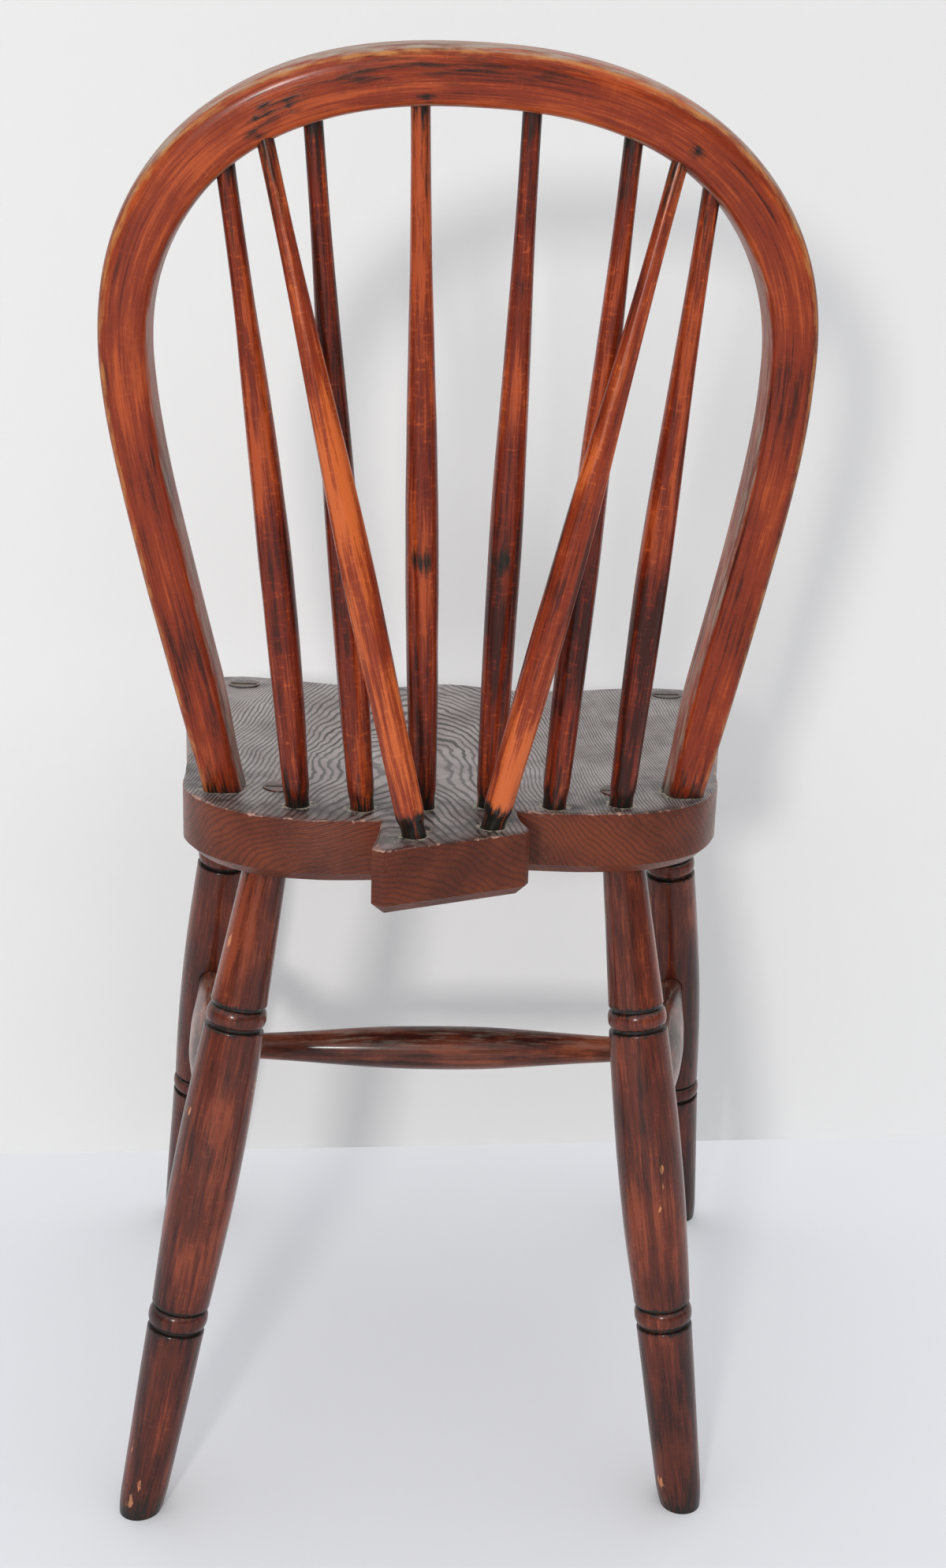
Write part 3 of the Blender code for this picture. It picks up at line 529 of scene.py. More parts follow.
def group_stained_grain():
    """Wood under a dark stain: blotches, long streaks, fine fibres and short flecks across them."""
    tree, takes, gives = tree_of(
        "stained_grain",
        {"Grain": "Vector", "Tone": "Float", "Dark": "Color", "Mid": "Color", "Light": "Color",
         "Streaks": "Float", "Blotches": "Float", "Flecks": "Float"},
        {"Color": "Color", "Height": "Float", "Gloss": "Float"})
    layers = [noise(tree, takes["Grain"], *layer) for layer in GRAIN_LAYERS]
    blotch, wide, streak, fibre, fleck = layers
    flecks = maths(tree, "MULTIPLY", stepped(tree, fleck, 0.52, 0.72), takes["Flecks"])
    value = maths(tree, "ADD", maths(tree, "MULTIPLY_ADD", flecks, 0.28, takes["Tone"]), 0.5)
    shares = (takes["Blotches"], takes["Blotches"], takes["Streaks"], 1.0)
    for layer, size, share in zip(layers, GRAIN_SIZES, shares):
        part = maths(tree, "MULTIPLY", maths(tree, "SUBTRACT", layer, 0.5), share)
        value = maths(tree, "MULTIPLY_ADD", part, size, value)
    lower = blended(tree, stepped(tree, value, 0.12, 0.50), takes["Dark"], takes["Mid"])
    colour = blended(tree, stepped(tree, value, 0.50, 0.95), lower, takes["Light"])
    height = maths(tree, "MULTIPLY_ADD", fibre, 0.30, maths(tree, "MULTIPLY", streak, 0.45))
    height = maths(tree, "MULTIPLY_ADD", fleck, maths(tree, "MULTIPLY", takes["Flecks"], 0.6), height)
    tree.links.new(colour, gives["Color"])
    tree.links.new(height, gives["Height"])
    tree.links.new(stepped(tree, maths(tree, "ADD", blotch, wide), 0.75, 1.30), gives["Gloss"])
    return tree


def group_ragged():
    """A painted mask with a ragged edge: where the mask passes a noise, eased over a short step."""
    tree, takes, gives = tree_of(
        "ragged",
        {"Vector": "Vector", "Mask": "Float", "Scale": "Float", "Along": "Vector", "Softness": "Float"},
        {"Mask": "Float"})
    rough = noise(tree, takes["Vector"], takes["Scale"], 5.0, 0.62, takes["Along"])
    bare = maths(tree, "SUBTRACT", 1.0, stepped(tree, rough, 0.28, 0.72))
    low = maths(tree, "SUBTRACT", bare, takes["Softness"])
    high = maths(tree, "ADD", bare, takes["Softness"])
    here = stepped(tree, takes["Mask"], low, high)
    some = stepped(tree, takes["Mask"], 0.0, 0.08)
    tree.links.new(maths(tree, "MULTIPLY", here, some), gives["Mask"])
    return tree


STAINED_GRAIN = group_stained_grain()
RAGGED = group_ragged()


def painted(tree, name, vector, scale, along, softness):
    """One painted mask of a piece, with a ragged edge."""
    return group_node(tree, RAGGED, {
        "Vector": vector, "Mask": attribute(tree, name), "Scale": scale, "Along": along,
        "Softness": softness})["Mask"]


def finished(tree, colour, gloss, height, masks, bare, roughness, coat, relief):
    """Lays wear, grime and painted shade, and dust and painted sheen over a colour and links the whole to
    the material's shader.
    """
    shader = tree.nodes["Principled BSDF"]
    shader.inputs["Specular IOR Level"].default_value = 0.17
    shader.inputs["Coat Roughness"].default_value = 0.15
    colour = blended(tree, masks["wear"], colour, bare)
    colour = blended(tree, masks["grime"], colour, GRIME_AND_SHADE)
    colour = blended(tree, masks["dust"], colour, DUST_AND_SHEEN)
    tree.links.new(colour, shader.inputs["Base Color"])
    rough = maths(tree, "MULTIPLY_ADD", gloss, -0.10, roughness)
    rough = maths(tree, "MULTIPLY_ADD", masks["wear"], 0.20, rough)
    rough = maths(tree, "MULTIPLY_ADD", masks["dust"], 0.30, rough, clamp=True)
    tree.links.new(rough, shader.inputs["Roughness"])
    dull = maths(tree, "MAXIMUM", masks["wear"], masks["dust"])
    coated = maths(tree, "MULTIPLY", maths(tree, "SUBTRACT", 1.0, dull), coat)
    tree.links.new(coated, shader.inputs["Coat Weight"])
    height = maths(tree, "MULTIPLY_ADD", masks["wear"], -0.8, height)
    height = maths(tree, "MULTIPLY_ADD", masks["grime"], 0.35, height)
    bump = add(tree, "Bump", {"Strength": 0.55, "Distance": relief, "Height": height})
    tree.links.new(bump.outputs[0], shader.inputs["Normal"])


def stained(name, dark, mid, light, bare=(0.50, 0.205, 0.10, 1.0), streaks=1.0, blotches=1.0,
            flecks=0.5, roughness=0.34, coat=0.16, relief=0.00035, worn_edge=0.10):
    """A stained and varnished finish that follows the grain painted on a piece."""
    made, tree, _ = new_material(name)
    grain = attribute(tree, "grain", "Vector")
    wood = group_node(tree, STAINED_GRAIN, {
        "Grain": grain, "Tone": attribute(tree, "tone"), "Dark": dark, "Mid": mid, "Light": light,
        "Streaks": streaks, "Blotches": blotches, "Flecks": flecks})
    masks = {
        "wear": painted(tree, "wear", grain, 260.0, (1, 1, 0.25), worn_edge),
        "grime": painted(tree, "grime", grain, 420.0, (1, 1, 0.10), 0.45),
        "dust": painted(tree, "dust", grain, 380.0, (1, 1, 0.12), 0.60),
    }
    finished(tree, wood["Color"], wood["Gloss"], wood["Height"], masks, bare, roughness, coat, relief)
    return made


leg_finish = stained(
    "stained_beech_legs", (0.026, 0.0055, 0.0040, 1), (0.090, 0.0165, 0.0080, 1),
    (0.225, 0.046, 0.019, 1), streaks=0.75, blotches=0.75, coat=0.36)
legs = {}
for number, place in enumerate(LEG_FEET):
    foot, head, way = leg_line(place)
    high = HIGH_BEAD[place.split("_")[0]]
    heights = [np.linspace(0.0, head[2] + TENON_PROUD, LEG_ROWS)]
    for bead in (LOW_BEAD, high):
        heights.append(np.linspace(bead - BEAD_REACH, bead + BEAD_REACH, BEAD_ROWS))
    heights = np.unique(np.concatenate(heights))
    radius = leg_radius(heights, place)
    radius[:4] -= FOOT_EASE * np.array([1.0, 0.55, 0.28, 0.10])
    rows = round_rows(foot, way, heights / way[2], radius[:, None], LEG_COLUMNS)
    oval = 1 + LEG_OVAL * np.cos(2 * np.linspace(0, 2 * math.pi, LEG_COLUMNS, endpoint=False) + number)
    axis = rows.mean(axis=1, keepdims=True)
    below = smooth((head[2] - SEAT_THICKNESS - heights) / 0.05)[:, None, None]
    rows = axis + (rows - axis) * (1 + (oval[None, :, None] - 1) * below)
    uneven = unevenness(rows, LEG_OVAL, 20 + number, 0.16)[..., None] - LEG_THINNER
    rows += (rows - axis) * uneven * below
    rows = slid(rows, way, 0, 0.0, 0.0, 0.030)
    rows = slid(rows, way, -1, SEAT_HEIGHT + TENON_PROUD, SEAT_RISE, 0.020)
    leg = skin(f"turned_leg_{place}", rows)
    depth = SEAT_THICKNESS / way[2]
    taper = (LEG_SEAT_R - LEG_TENON_R) / depth
    bore(seat, head - way * (depth + CUT_PAST), head + way * CUT_PAST,
         LEG_SEAT_R + taper * CUT_PAST + GAP, LEG_TENON_R - taper * CUT_PAST + GAP)
    legs[place] = leg


def cut_kerf(leg, place):
    """Notes the saw kerf across a leg's tenon: a flat slot down to the wedge's tip."""
    _, head, way = leg_line(place)
    across = np.cross(np.cross((0.0, 1.0, 0.0), way), way)
    across /= np.linalg.norm(across)
    along = np.cross(way, across)
    ends = np.array([[1, 1], [-1, 1], [-1, -1], [1, -1]])
    sides = np.array([2 * LEG_TENON_R, WEDGE_WIDTH / 2 + GAP])
    flat = (ends * sides) @ np.stack([along, across])
    low, high = head - way * (WEDGE_LENGTH + 0.0008), head + way * CUT_PAST
    sockets.setdefault(leg.name, []).append(np.array([low + flat, high + flat]))


for place, leg in legs.items():
    cut_kerf(leg, place)


# Wedges
# A sliver of pale hardwood is driven into each tenon's saw kerf and trimmed with it. The frame's own
# wedges stay, with an open, dirty end grain.
END_GRAIN_DARK, END_GRAIN_PALE = (0.020, 0.014, 0.010, 1), (0.115, 0.075, 0.050, 1)


def wedge_finish():
    """Dry end grain, pale where it is clean and dark in its pores."""
    made, tree, shader = new_material("wedge_end_grain")
    spots = noise(tree, add(tree, "TexCoord", {}).outputs["Object"], 900, 4, 0.6)
    colour = blended(tree, stepped(tree, spots, 0.35, 0.65), END_GRAIN_DARK, END_GRAIN_PALE)
    tree.links.new(colour, shader.inputs["Base Color"])
    tree.links.new(maths(tree, "MULTIPLY_ADD", spots, 0.3, 0.40), shader.inputs["Roughness"])
    bump = add(tree, "Bump", {"Strength": 0.5, "Distance": 0.0003, "Height": spots})
    tree.links.new(bump.outputs[0], shader.inputs["Normal"])
    return made


end_grain = wedge_finish()
for place in LEG_FEET:
    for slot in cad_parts[f"leg_wedge_{place}"].material_slots:
        slot.material = end_grain


# Stretchers
# An H of turned beech: one stretcher from front leg to rear leg on each side, and one across
# between their middles. Each swells evenly to its middle, and its ends are driven into sockets.
STRETCHER_REAR_HEIGHT = 0.2413
STRETCHER_FRONT_HEIGHT = 0.2273
SIDE_STRETCHER_END_R = 0.0080
SIDE_STRETCHER_MID_R = 0.0155
CROSS_STRETCHER_END_R = 0.0082
CROSS_STRETCHER_MID_R = 0.0155
STRETCHER_IN_LEG = 0.006
CROSS_IN_SIDE = 0.004
STRETCHER_ROWS = 120
STRETCHER_COLUMNS = 32
STRETCHER_UNEVEN = 0.014
STRETCHER_THINNER = 0.010


def leg_at(place, height):
    """The point of a leg's axis at a height."""
    foot, _, way = leg_line(place)
    return foot + way * (height / way[2])


def swell(share, end_r, middle_r):
    """A stretcher's radius: end + (middle - end) * (1 - cos 2 pi t) / 2."""
    return end_r + (middle_r - end_r) * (0.5 - 0.5 * np.cos(2 * math.pi * share))


def stretcher(name, start, end, end_r, middle_r, seed):
    """A stick that follows swell() from end to end, a little uneven."""
    share = np.linspace(0.0, 1.0, STRETCHER_ROWS)
    radius = swell(share, end_r, middle_r)
    length = np.linalg.norm(end - start)
    rows = round_rows(start, end - start, share * length, radius[:, None], STRETCHER_COLUMNS)
    axis = rows.mean(axis=1, keepdims=True)
    free = smooth(np.minimum(share, 1 - share) * length / 0.05)[:, None, None]
    uneven = unevenness(rows, STRETCHER_UNEVEN, seed, 0.10)[..., None] - STRETCHER_THINNER
    rows += (rows - axis) * uneven * free
    return skin(name, rows)


def socket_for(owner, tip, other_tip, mouth, end_r, middle_r):
    """Notes the socket for a stretcher's tip, which follows its swell to the mouth."""
    way = (other_tip - tip) / np.linalg.norm(other_tip - tip)
    wide = swell(mouth / np.linalg.norm(other_tip - tip), end_r, middle_r)
    bore(owner, tip - way * 0.0008, tip + way * mouth, end_r + GAP, wide + GAP)


stretchers = {}
middles = {}
radii = (SIDE_STRETCHER_END_R, SIDE_STRETCHER_MID_R)
mouth = STRETCHER_IN_LEG + LEG_SWELL_R + CUT_PAST
for number, side in enumerate(("left", "right")):
    rear = leg_at(f"rear_{side}", STRETCHER_REAR_HEIGHT)
    front = leg_at(f"front_{side}", STRETCHER_FRONT_HEIGHT)
    way = (front - rear) / np.linalg.norm(front - rear)
    middles[side] = (rear + front) / 2
    rear, front = rear - way * STRETCHER_IN_LEG, front + way * STRETCHER_IN_LEG
    socket_for(legs[f"rear_{side}"], rear, front, mouth, *radii)
    socket_for(legs[f"front_{side}"], front, rear, mouth, *radii)
    made = stretcher(f"turned_side_stretcher_{side}", rear, front, *radii, 40 + number)
    stretchers[side] = (made, rear, front)
way = (middles["right"] - middles["left"]) / np.linalg.norm(middles["right"] - middles["left"])
start, end = middles["left"] - way * CROSS_IN_SIDE, middles["right"] + way * CROSS_IN_SIDE
radii = (CROSS_STRETCHER_END_R, CROSS_STRETCHER_MID_R)
mouth = CROSS_IN_SIDE + SIDE_STRETCHER_MID_R + CUT_PAST / 2
socket_for(stretchers["left"][0], start, end, mouth, *radii)
socket_for(stretchers["right"][0], end, start, mouth, *radii)
stretchers["cross"] = (stretcher("turned_cross_stretcher", start, end, *radii, 44), start, end)

stretcher_finish = stained(
    "stained_beech_stretchers", (0.034, 0.0085, 0.006, 1), (0.105, 0.026, 0.014, 1),
    (0.23, 0.062, 0.030, 1), coat=0.35)


def along_axis(points, start, end):
    """Grain coordinates about an axis: the two offsets across it, and the way along it."""
    level, rest, way = square_to(np.array(end) - np.array(start))
    away = points - np.array(start)
    return np.stack([away @ level, away @ rest, away @ way], axis=1)


for number, (label, (piece, start, end)) in enumerate(stretchers.items()):
    settle(piece)
    p = points_of(piece)
    grain = along_axis(p, start, end)
    length = np.linalg.norm(end - start)
    ends = np.exp(-np.minimum(grain[:, 2], length - grain[:, 2]) / SOCKET_GRIME)
    up = smooth((p[:, 2] - np.interp(grain[:, 2], (0, length), (start[2], end[2]))) / 0.012)
    paint(piece, grain + (0.3 * number, 0.17, 0.9 * number), tone=-0.12 * ends, grime=0.75 * ends,
          dust=0.05 * up)
    node = "cross_stretcher" if label == "cross" else f"side_stretcher_{label}"
    stands_for(piece, node, stretcher_finish)

for number, (place, leg) in enumerate(legs.items()):
    settle(leg)
    foot, head, way = leg_line(place)
    p = points_of(leg)
    grain = along_axis(p, foot, head)
    height = grain[:, 2] * way[2]
    near = np.minimum(np.abs(height - LOW_BEAD), np.abs(height - HIGH_BEAD[place.split("_")[0]]))
    # Each groove is darkened almost fully.
    groove = np.exp(-((near - BEAD_HALF - GROOVE_WIDTH / 2) / GROOVE_DARK_REACH) ** 2)
    tip = np.exp(-np.clip(height, 0, None) / FOOT_GRIME)
    socketed = np.exp(-((height - SOCKET_HEIGHT) / SOCKET_GRIME) ** 2) * 0.18
    # Painted shade: the leg darkens just under the seat, laid in with the grime mask.
    under = smooth((height - (head[2] - SEAT_THICKNESS - UNDER_SEAT_SHADE)) / UNDER_SEAT_SHADE)
    chips = []
    for at, bearing, tall, wide in LEG_CHIPS[place]:
        surface = leg_at(place, at) + bearing_way(bearing) * leg_radius(np.array([at]), place)[0]
        chips.append((surface, (wide, wide, tall)))
    dark = -0.16 if place.startswith("front") else 0.0
    paint(leg, grain + (0.7 * number, 0.4, 1.3 * number), wear=1.15 * spread_marks(p, chips),
          grime=np.clip(0.98 * groove + 0.80 * tip + socketed + 0.55 * under, 0, 1),
          tone=dark - 0.10 * tip + 0.05 * np.sin(height * 40 + number))
    stands_for(leg, f"leg_{place}", leg_finish)


# Bow
# One ash stick, steamed and bent over a form into the hoop, then shaved: broad over the crown, thin
# at the feet, its outer rear corner rubbed round. Each end is a round tenon in the seat.
BOW_FOOT = -0.117
BOW_LEAN = math.radians(13.4)
BOW_TURN = math.radians(2.5)
BOW_HALF_WIDTH = 0.1906
BOW_OFF_CENTRE = -0.0043
BOW_FEET_OFF_CENTRE = 0.0027
BOW_WIDEST = 0.260
BOW_HEIGHT = 0.4215
BOW_SPREAD = 0.195
BOW_EASE = 0.065
BOW_CROWN_POWER = 2.3
BOW_FACE = 0.0268
BOW_CROWN_FACE = 0.0300
BOW_CROWN_RAMP = 1.5
BOW_DEPTH = 0.0285
BOW_INNER_SLANT = 0.0020
BOW_SECTION_POWER = 4.6
BOW_RUBBED_POWER = 3.6
BOW_FOOT_SHARE = 0.87
BOW_FOOT_TAPER = 0.070
BOW_TENON_R = 0.0088
BOW_TENON_LENGTH = 0.021
BOW_ROWS = 340
BOW_COLUMNS = 72
BOW_UNEVEN = 0.010
BOW_THINNER = 0.013
# Across and up in the bow's plane: scars with their sizes, and the dark streak on the crown.
BOW_SCARS = (((-0.1072, 0.3869), (0.005, 0.005)), ((-0.1107, 0.3831), (0.003, 0.003)),
             ((-0.1112, 0.3749), (0.004, 0.003)), ((-0.0950, 0.3900), (0.003, 0.003)),
             ((0.1080, 0.3780), (0.003, 0.003)), ((-0.0280, 0.3960), (0.003, 0.002)))
BOW_STREAK = (-0.085, 0.035)
BOW_STREAK_FADE = 0.03
BOW_STREAK_HEIGHT = 0.36
BOW_FOOT_GRIME = 0.013
bow_across = np.array([math.cos(BOW_TURN), math.sin(BOW_TURN), 0.0])
bow_front = np.array([-math.sin(BOW_TURN), math.cos(BOW_TURN), 0.0])
bow_up = np.array([0, 0, 1]) * math.cos(BOW_LEAN) - bow_front * math.sin(BOW_LEAN)
bow_forward = bow_front * math.cos(BOW_LEAN) + np.array([0, 0, 1]) * math.sin(BOW_LEAN)
bow_foot_middle = np.array([0.0, BOW_FOOT, seat_plane(BOW_FOOT)])


def bow_edge():
    """The bow's outer edge in its own plane: a hyperbola up each side, upright where the bow is
    widest, and a superellipse over the crown. Read off at even steps of its length."""
    rise = np.linspace(0.0, BOW_WIDEST, 200)[:-1]
    half = BOW_HALF_WIDTH - BOW_SPREAD * (np.hypot(BOW_WIDEST - rise, BOW_EASE) - BOW_EASE)
    turn = np.linspace(0.0, math.pi / 2, 400)
    power = 2 / BOW_CROWN_POWER
    x = np.concatenate([half, BOW_HALF_WIDTH * np.abs(np.cos(turn)) ** power])
    crown = BOW_WIDEST + (BOW_HEIGHT - BOW_WIDEST) * np.abs(np.sin(turn)) ** power
    z = np.concatenate([rise, crown])
    x, z = np.concatenate([-x, x[-2::-1]]), np.concatenate([z, z[-2::-1]])
    edge = np.stack([x + np.interp(z, (0, BOW_WIDEST), (BOW_FEET_OFF_CENTRE, BOW_OFF_CENTRE)), z], axis=1)
    gone = np.concatenate([[0.0], np.cumsum(np.linalg.norm(np.diff(edge, axis=0), axis=1))])
    even = np.linspace(0.0, gone[-1], BOW_ROWS)
    return np.stack([np.interp(even, gone, edge[:, 0]), np.interp(even, gone, edge[:, 1])], axis=1), even


edge, bow_gone = bow_edge()
along = np.gradient(edge, axis=0)
along /= np.linalg.norm(along, axis=1)[:, None]
outward = np.stack([-along[:, 1], along[:, 0]], axis=1)
crown = smooth(BOW_CROWN_RAMP * (edge[:, 1] - BOW_WIDEST) / (BOW_HEIGHT - BOW_WIDEST))
at_foot = BOW_FOOT_SHARE + (1 - BOW_FOOT_SHARE) * smooth(edge[:, 1] / BOW_FOOT_TAPER)
face = (BOW_FACE + (BOW_CROWN_FACE - BOW_FACE) * crown) * at_foot
middle_line = edge - outward * face[:, None] / 2


def in_bow(x, z, forward_by=0.0):
    """Points of the bow's plane, in space."""
    x, z, forward_by = (np.asarray(v, float)[..., None] for v in (x, z, forward_by))
    return bow_foot_middle + x * bow_across + z * bow_up + forward_by * bow_forward


def bow_section():
    """The bow's section as (outward, forward) for every row and column: a superellipse whose outer
    rear corner is rounder over the crown, and whose inner side slants."""
    dense = np.linspace(0, 2 * math.pi, 4000)
    power = 2 / BOW_SECTION_POWER
    unit = np.stack([np.sign(np.cos(dense)) * np.abs(np.cos(dense)) ** power,
                     np.sign(np.sin(dense)) * np.abs(np.sin(dense)) ** power], axis=1)
    gone = np.concatenate([[0.0], np.cumsum(np.linalg.norm(np.diff(unit, axis=0), axis=1))])
    turn = -np.interp(np.linspace(0, gone[-1], BOW_COLUMNS, endpoint=False), gone, dense)
    c, s = np.cos(turn)[None, :], np.sin(turn)[None, :]
    rubbed = BOW_SECTION_POWER - (BOW_SECTION_POWER - BOW_RUBBED_POWER) * crown[:, None]
    power = 2 / np.where((c > 0) & (s < 0), rubbed, BOW_SECTION_POWER)
    out = np.sign(c) * np.abs(c) ** power * face[:, None] / 2
    half_depth = BOW_DEPTH / 2 * np.minimum(face / BOW_FACE, 1.0)[:, None]
    deep = np.sign(s) * np.abs(s) ** power * half_depth
    return out - np.where(out < 0, BOW_INNER_SLANT * deep / BOW_DEPTH, 0.0), deep


out, deep = bow_section()
sideways = outward[:, :1] * bow_across + outward[:, 1:] * bow_up
rows = in_bow(*middle_line.T)[:, None, :] + out[..., None] * sideways[:, None, :]
rows += deep[..., None] * bow_forward
bow_middle_rows = rows.mean(axis=1)
shaved = unevenness(rows, BOW_UNEVEN, 61, 0.13)[..., None] - BOW_THINNER
rows += (rows - bow_middle_rows[:, None, :]) * shaved


def bow_end(rows, end):
    """The rows with one foot cut to the seat, its shoulder, and its tenon down to the tip."""
    below = bow_middle_rows[end]
    above = bow_middle_rows[8 if end == 0 else -9]
    down = (below - above) / np.linalg.norm(below - above)
    rows = slid(rows, down, end, SEAT_HEIGHT + GAP, SEAT_RISE, 0.022)
    foot = rows[end].mean(axis=0)
    away = rows[end] - foot
    flat = away - (away @ down)[:, None] * down
    reach = np.linalg.norm(flat, axis=1)[:, None]
    tenon = []
    for share in (0.5, 1.0):
        tenon.append(foot + away * (1 + share * (BOW_TENON_R / reach - 1)))
    for fall in (0.25, 1.0):
        tenon.append(foot + flat / reach * BOW_TENON_R + down * BOW_TENON_LENGTH * fall)
    tip, mouth = foot + down * (BOW_TENON_LENGTH + 0.0008), foot - down * CUT_PAST
    bore(seat, mouth, tip, BOW_TENON_R + GAP)
    tenon = np.array(tenon)
    return (np.concatenate([tenon[::-1], rows]) if end == 0 else np.concatenate([rows, tenon])), foot


rows, bow_left_foot = bow_end(rows, 0)
rows, bow_right_foot = bow_end(rows, -1)
hoop = skin("bent_bow", rows)


# Spindles and braces
# Eight sticks of beech, shaved by hand with a spokeshave, thickest a third of the way up. Six stand in
# the seat; two longer ones run from the tail to the bow. Their thin tops are driven into the bow.
SPINDLES = (
    (-0.0905, -0.1530, -0.1290), (-0.0527, -0.1565, -0.0850), (-0.0174, -0.1510, -0.0313),
    (0.0217, -0.1460, 0.0252), (0.0605, -0.1445, 0.0780), (0.1010, -0.1380, 0.1208),
)
SPINDLE_TENON = 0.018
SPINDLE_TOP_TENON = 0.020
SPINDLE_RADII = (0.0070, 0.0078, 0.0093, 0.0050)
SPINDLE_HEEL = 0.012
SPINDLE_SWELL = 0.36
SPINDLE_BEND = (0.0030, 0.0, 0.0, 0.0, 0.0, -0.0012)
SPINDLE_FACETS = (9, 0.022)
BRACES = {"left": (-0.0216, -0.2024, -0.1102), "right": (0.0228, -0.1843, 0.1038)}
BRACE_RADII = (0.0068, 0.0082, 0.0092, 0.0045)
BRACE_SWELL = 0.33
BRACE_BEHIND = 0.0050
BRACE_BEND = {"left": 0.0, "right": 0.0012}
BRACE_FACETS = (8, 0.050)
STICK_ROWS = 150
STICK_COLUMNS = 30
STICK_UNEVEN = 0.020
STICK_FOOT_GRIME = 0.016
STICK_TOP_GRIME = 0.022
BRACE_DARK_FOOT = 0.017
# Tone shifts for some sticks; the right brace's lift is partly a painted highlight.
STICK_TONE_AND_HIGHLIGHT = {"back_spindle_1": -0.06, "back_spindle_3": 0.08, "brace_spindle_right": 0.09}
# Dark knots and bruises: how far up, bearing in degrees, and size.
STICK_MARKS = {
    "back_spindle_3": ((0.150, -90, 0.006),),
    "back_spindle_4": ((0.152, -100, 0.006), (0.300, -80, 0.004)),
}


def stick_line(foot_x, foot_y, top_x, behind=0.0):
    """Foot on the seat, top on the bow's middle line, and the unit vector between them."""
    low, high = int(np.argmin(middle_line[:, 0])), int(np.argmax(middle_line[:, 0]))
    top_z = np.interp(top_x, middle_line[low:high + 1, 0], middle_line[low:high + 1, 1])
    foot = np.array([foot_x, foot_y, seat_plane(foot_y) - dish(foot_x, foot_y)])
    top = in_bow(top_x, top_z, -behind)
    return foot, top, (top - foot) / np.linalg.norm(top - foot)


def stick(name, line, radii, swell_at, flattening, bend, seed):
    """A shaved stick: a sine up to the swell and a cosine down to the top, on a section with soft
    facets, where radius = circle * (1 - depth * (1 - |cos(n a / 2)|)), and a slight bend."""
    foot, top, way = line
    length = np.linalg.norm(top - foot)
    foot_r, heel_r, swell_r, top_r = radii
    facets, depth = flattening
    widest, neck = swell_at * length, length - SPINDLE_TOP_TENON
    rise = np.linspace(-SPINDLE_TENON, length, STICK_ROWS)
    up = np.clip((rise - SPINDLE_HEEL) / (widest - SPINDLE_HEEL), 0, 1)
    down = np.clip((rise - widest) / (neck - widest), 0, 1)
    radius = np.where(rise < widest, heel_r + (swell_r - heel_r) * np.sin(up * math.pi / 2),
                      top_r + (swell_r - top_r) * (0.5 + 0.5 * np.cos(down * math.pi)))
    heel = foot_r + (heel_r - foot_r) * smooth(2 * rise / SPINDLE_HEEL - 1)
    radius = np.where(rise < SPINDLE_HEEL, heel, radius)
    turn = 2 * math.pi * np.arange(STICK_COLUMNS) / STICK_COLUMNS
    twist = 0.5 * np.sin(rise * 9 + seed)
    free = smooth((rise - 0.008) / 0.03) * smooth((neck - rise) / 0.05)
    flats = 1 - depth * free[:, None] * (1 - np.abs(np.cos((turn + twist[:, None]) * facets / 2)))
    rows = round_rows(foot, way, rise, radius[:, None] * flats, STICK_COLUMNS)
    axis = rows.mean(axis=1, keepdims=True)
    rows += (rows - axis) * unevenness(rows, STICK_UNEVEN, seed, 0.11)[..., None] * free[:, None, None]
    level, _, _ = square_to(way)
    rows += (bend * np.sin(math.pi * np.clip(rise / neck, 0, 1)))[:, None, None] * level
    return skin(name, rows)


def socket_stick(line, foot_r, top_r):
    """Notes a stick's blind sockets in the seat and in the bow."""
    foot, top, way = line
    bore(seat, foot - way * (SPINDLE_TENON + 0.0008), foot + way * CUT_PAST, foot_r + GAP)
    bore(hoop, top - way * (SPINDLE_TOP_TENON + CUT_PAST), top + way * 0.0008, top_r + GAP)


spindle_finish = stained(
    "stained_beech_spindles", (0.038, 0.0062, 0.0030, 1), (0.158, 0.0180, 0.0054, 1),
    (0.39, 0.066, 0.0155, 1), flecks=1.0, streaks=0.8, blotches=0.7)
brace_finish = stained(
    "stained_beech_braces", (0.060, 0.0095, 0.0045, 1), (0.225, 0.029, 0.0080, 1),
    (0.54, 0.115, 0.028, 1), flecks=0.6, streaks=0.9, blotches=0.8)
sticks = []
for number, place in enumerate(SPINDLES):
    line = stick_line(*place)
    piece = stick(f"shaved_spindle_{number + 1}", line, SPINDLE_RADII, SPINDLE_SWELL, SPINDLE_FACETS,
                  SPINDLE_BEND[number], 70 + number)
    socket_stick(line, SPINDLE_RADII[0], SPINDLE_RADII[3])
    sticks.append((piece, line, f"back_spindle_{number + 1}", spindle_finish, 0.0))
for number, (side, place) in enumerate(BRACES.items()):
    line = stick_line(*place, BRACE_BEHIND)
    piece = stick(f"shaved_brace_{side}", line, BRACE_RADII, BRACE_SWELL, BRACE_FACETS,
                  BRACE_BEND[side], 80 + number)
    socket_stick(line, BRACE_RADII[0], BRACE_RADII[3])
    sticks.append((piece, line, f"brace_spindle_{side}", brace_finish, 1.0))
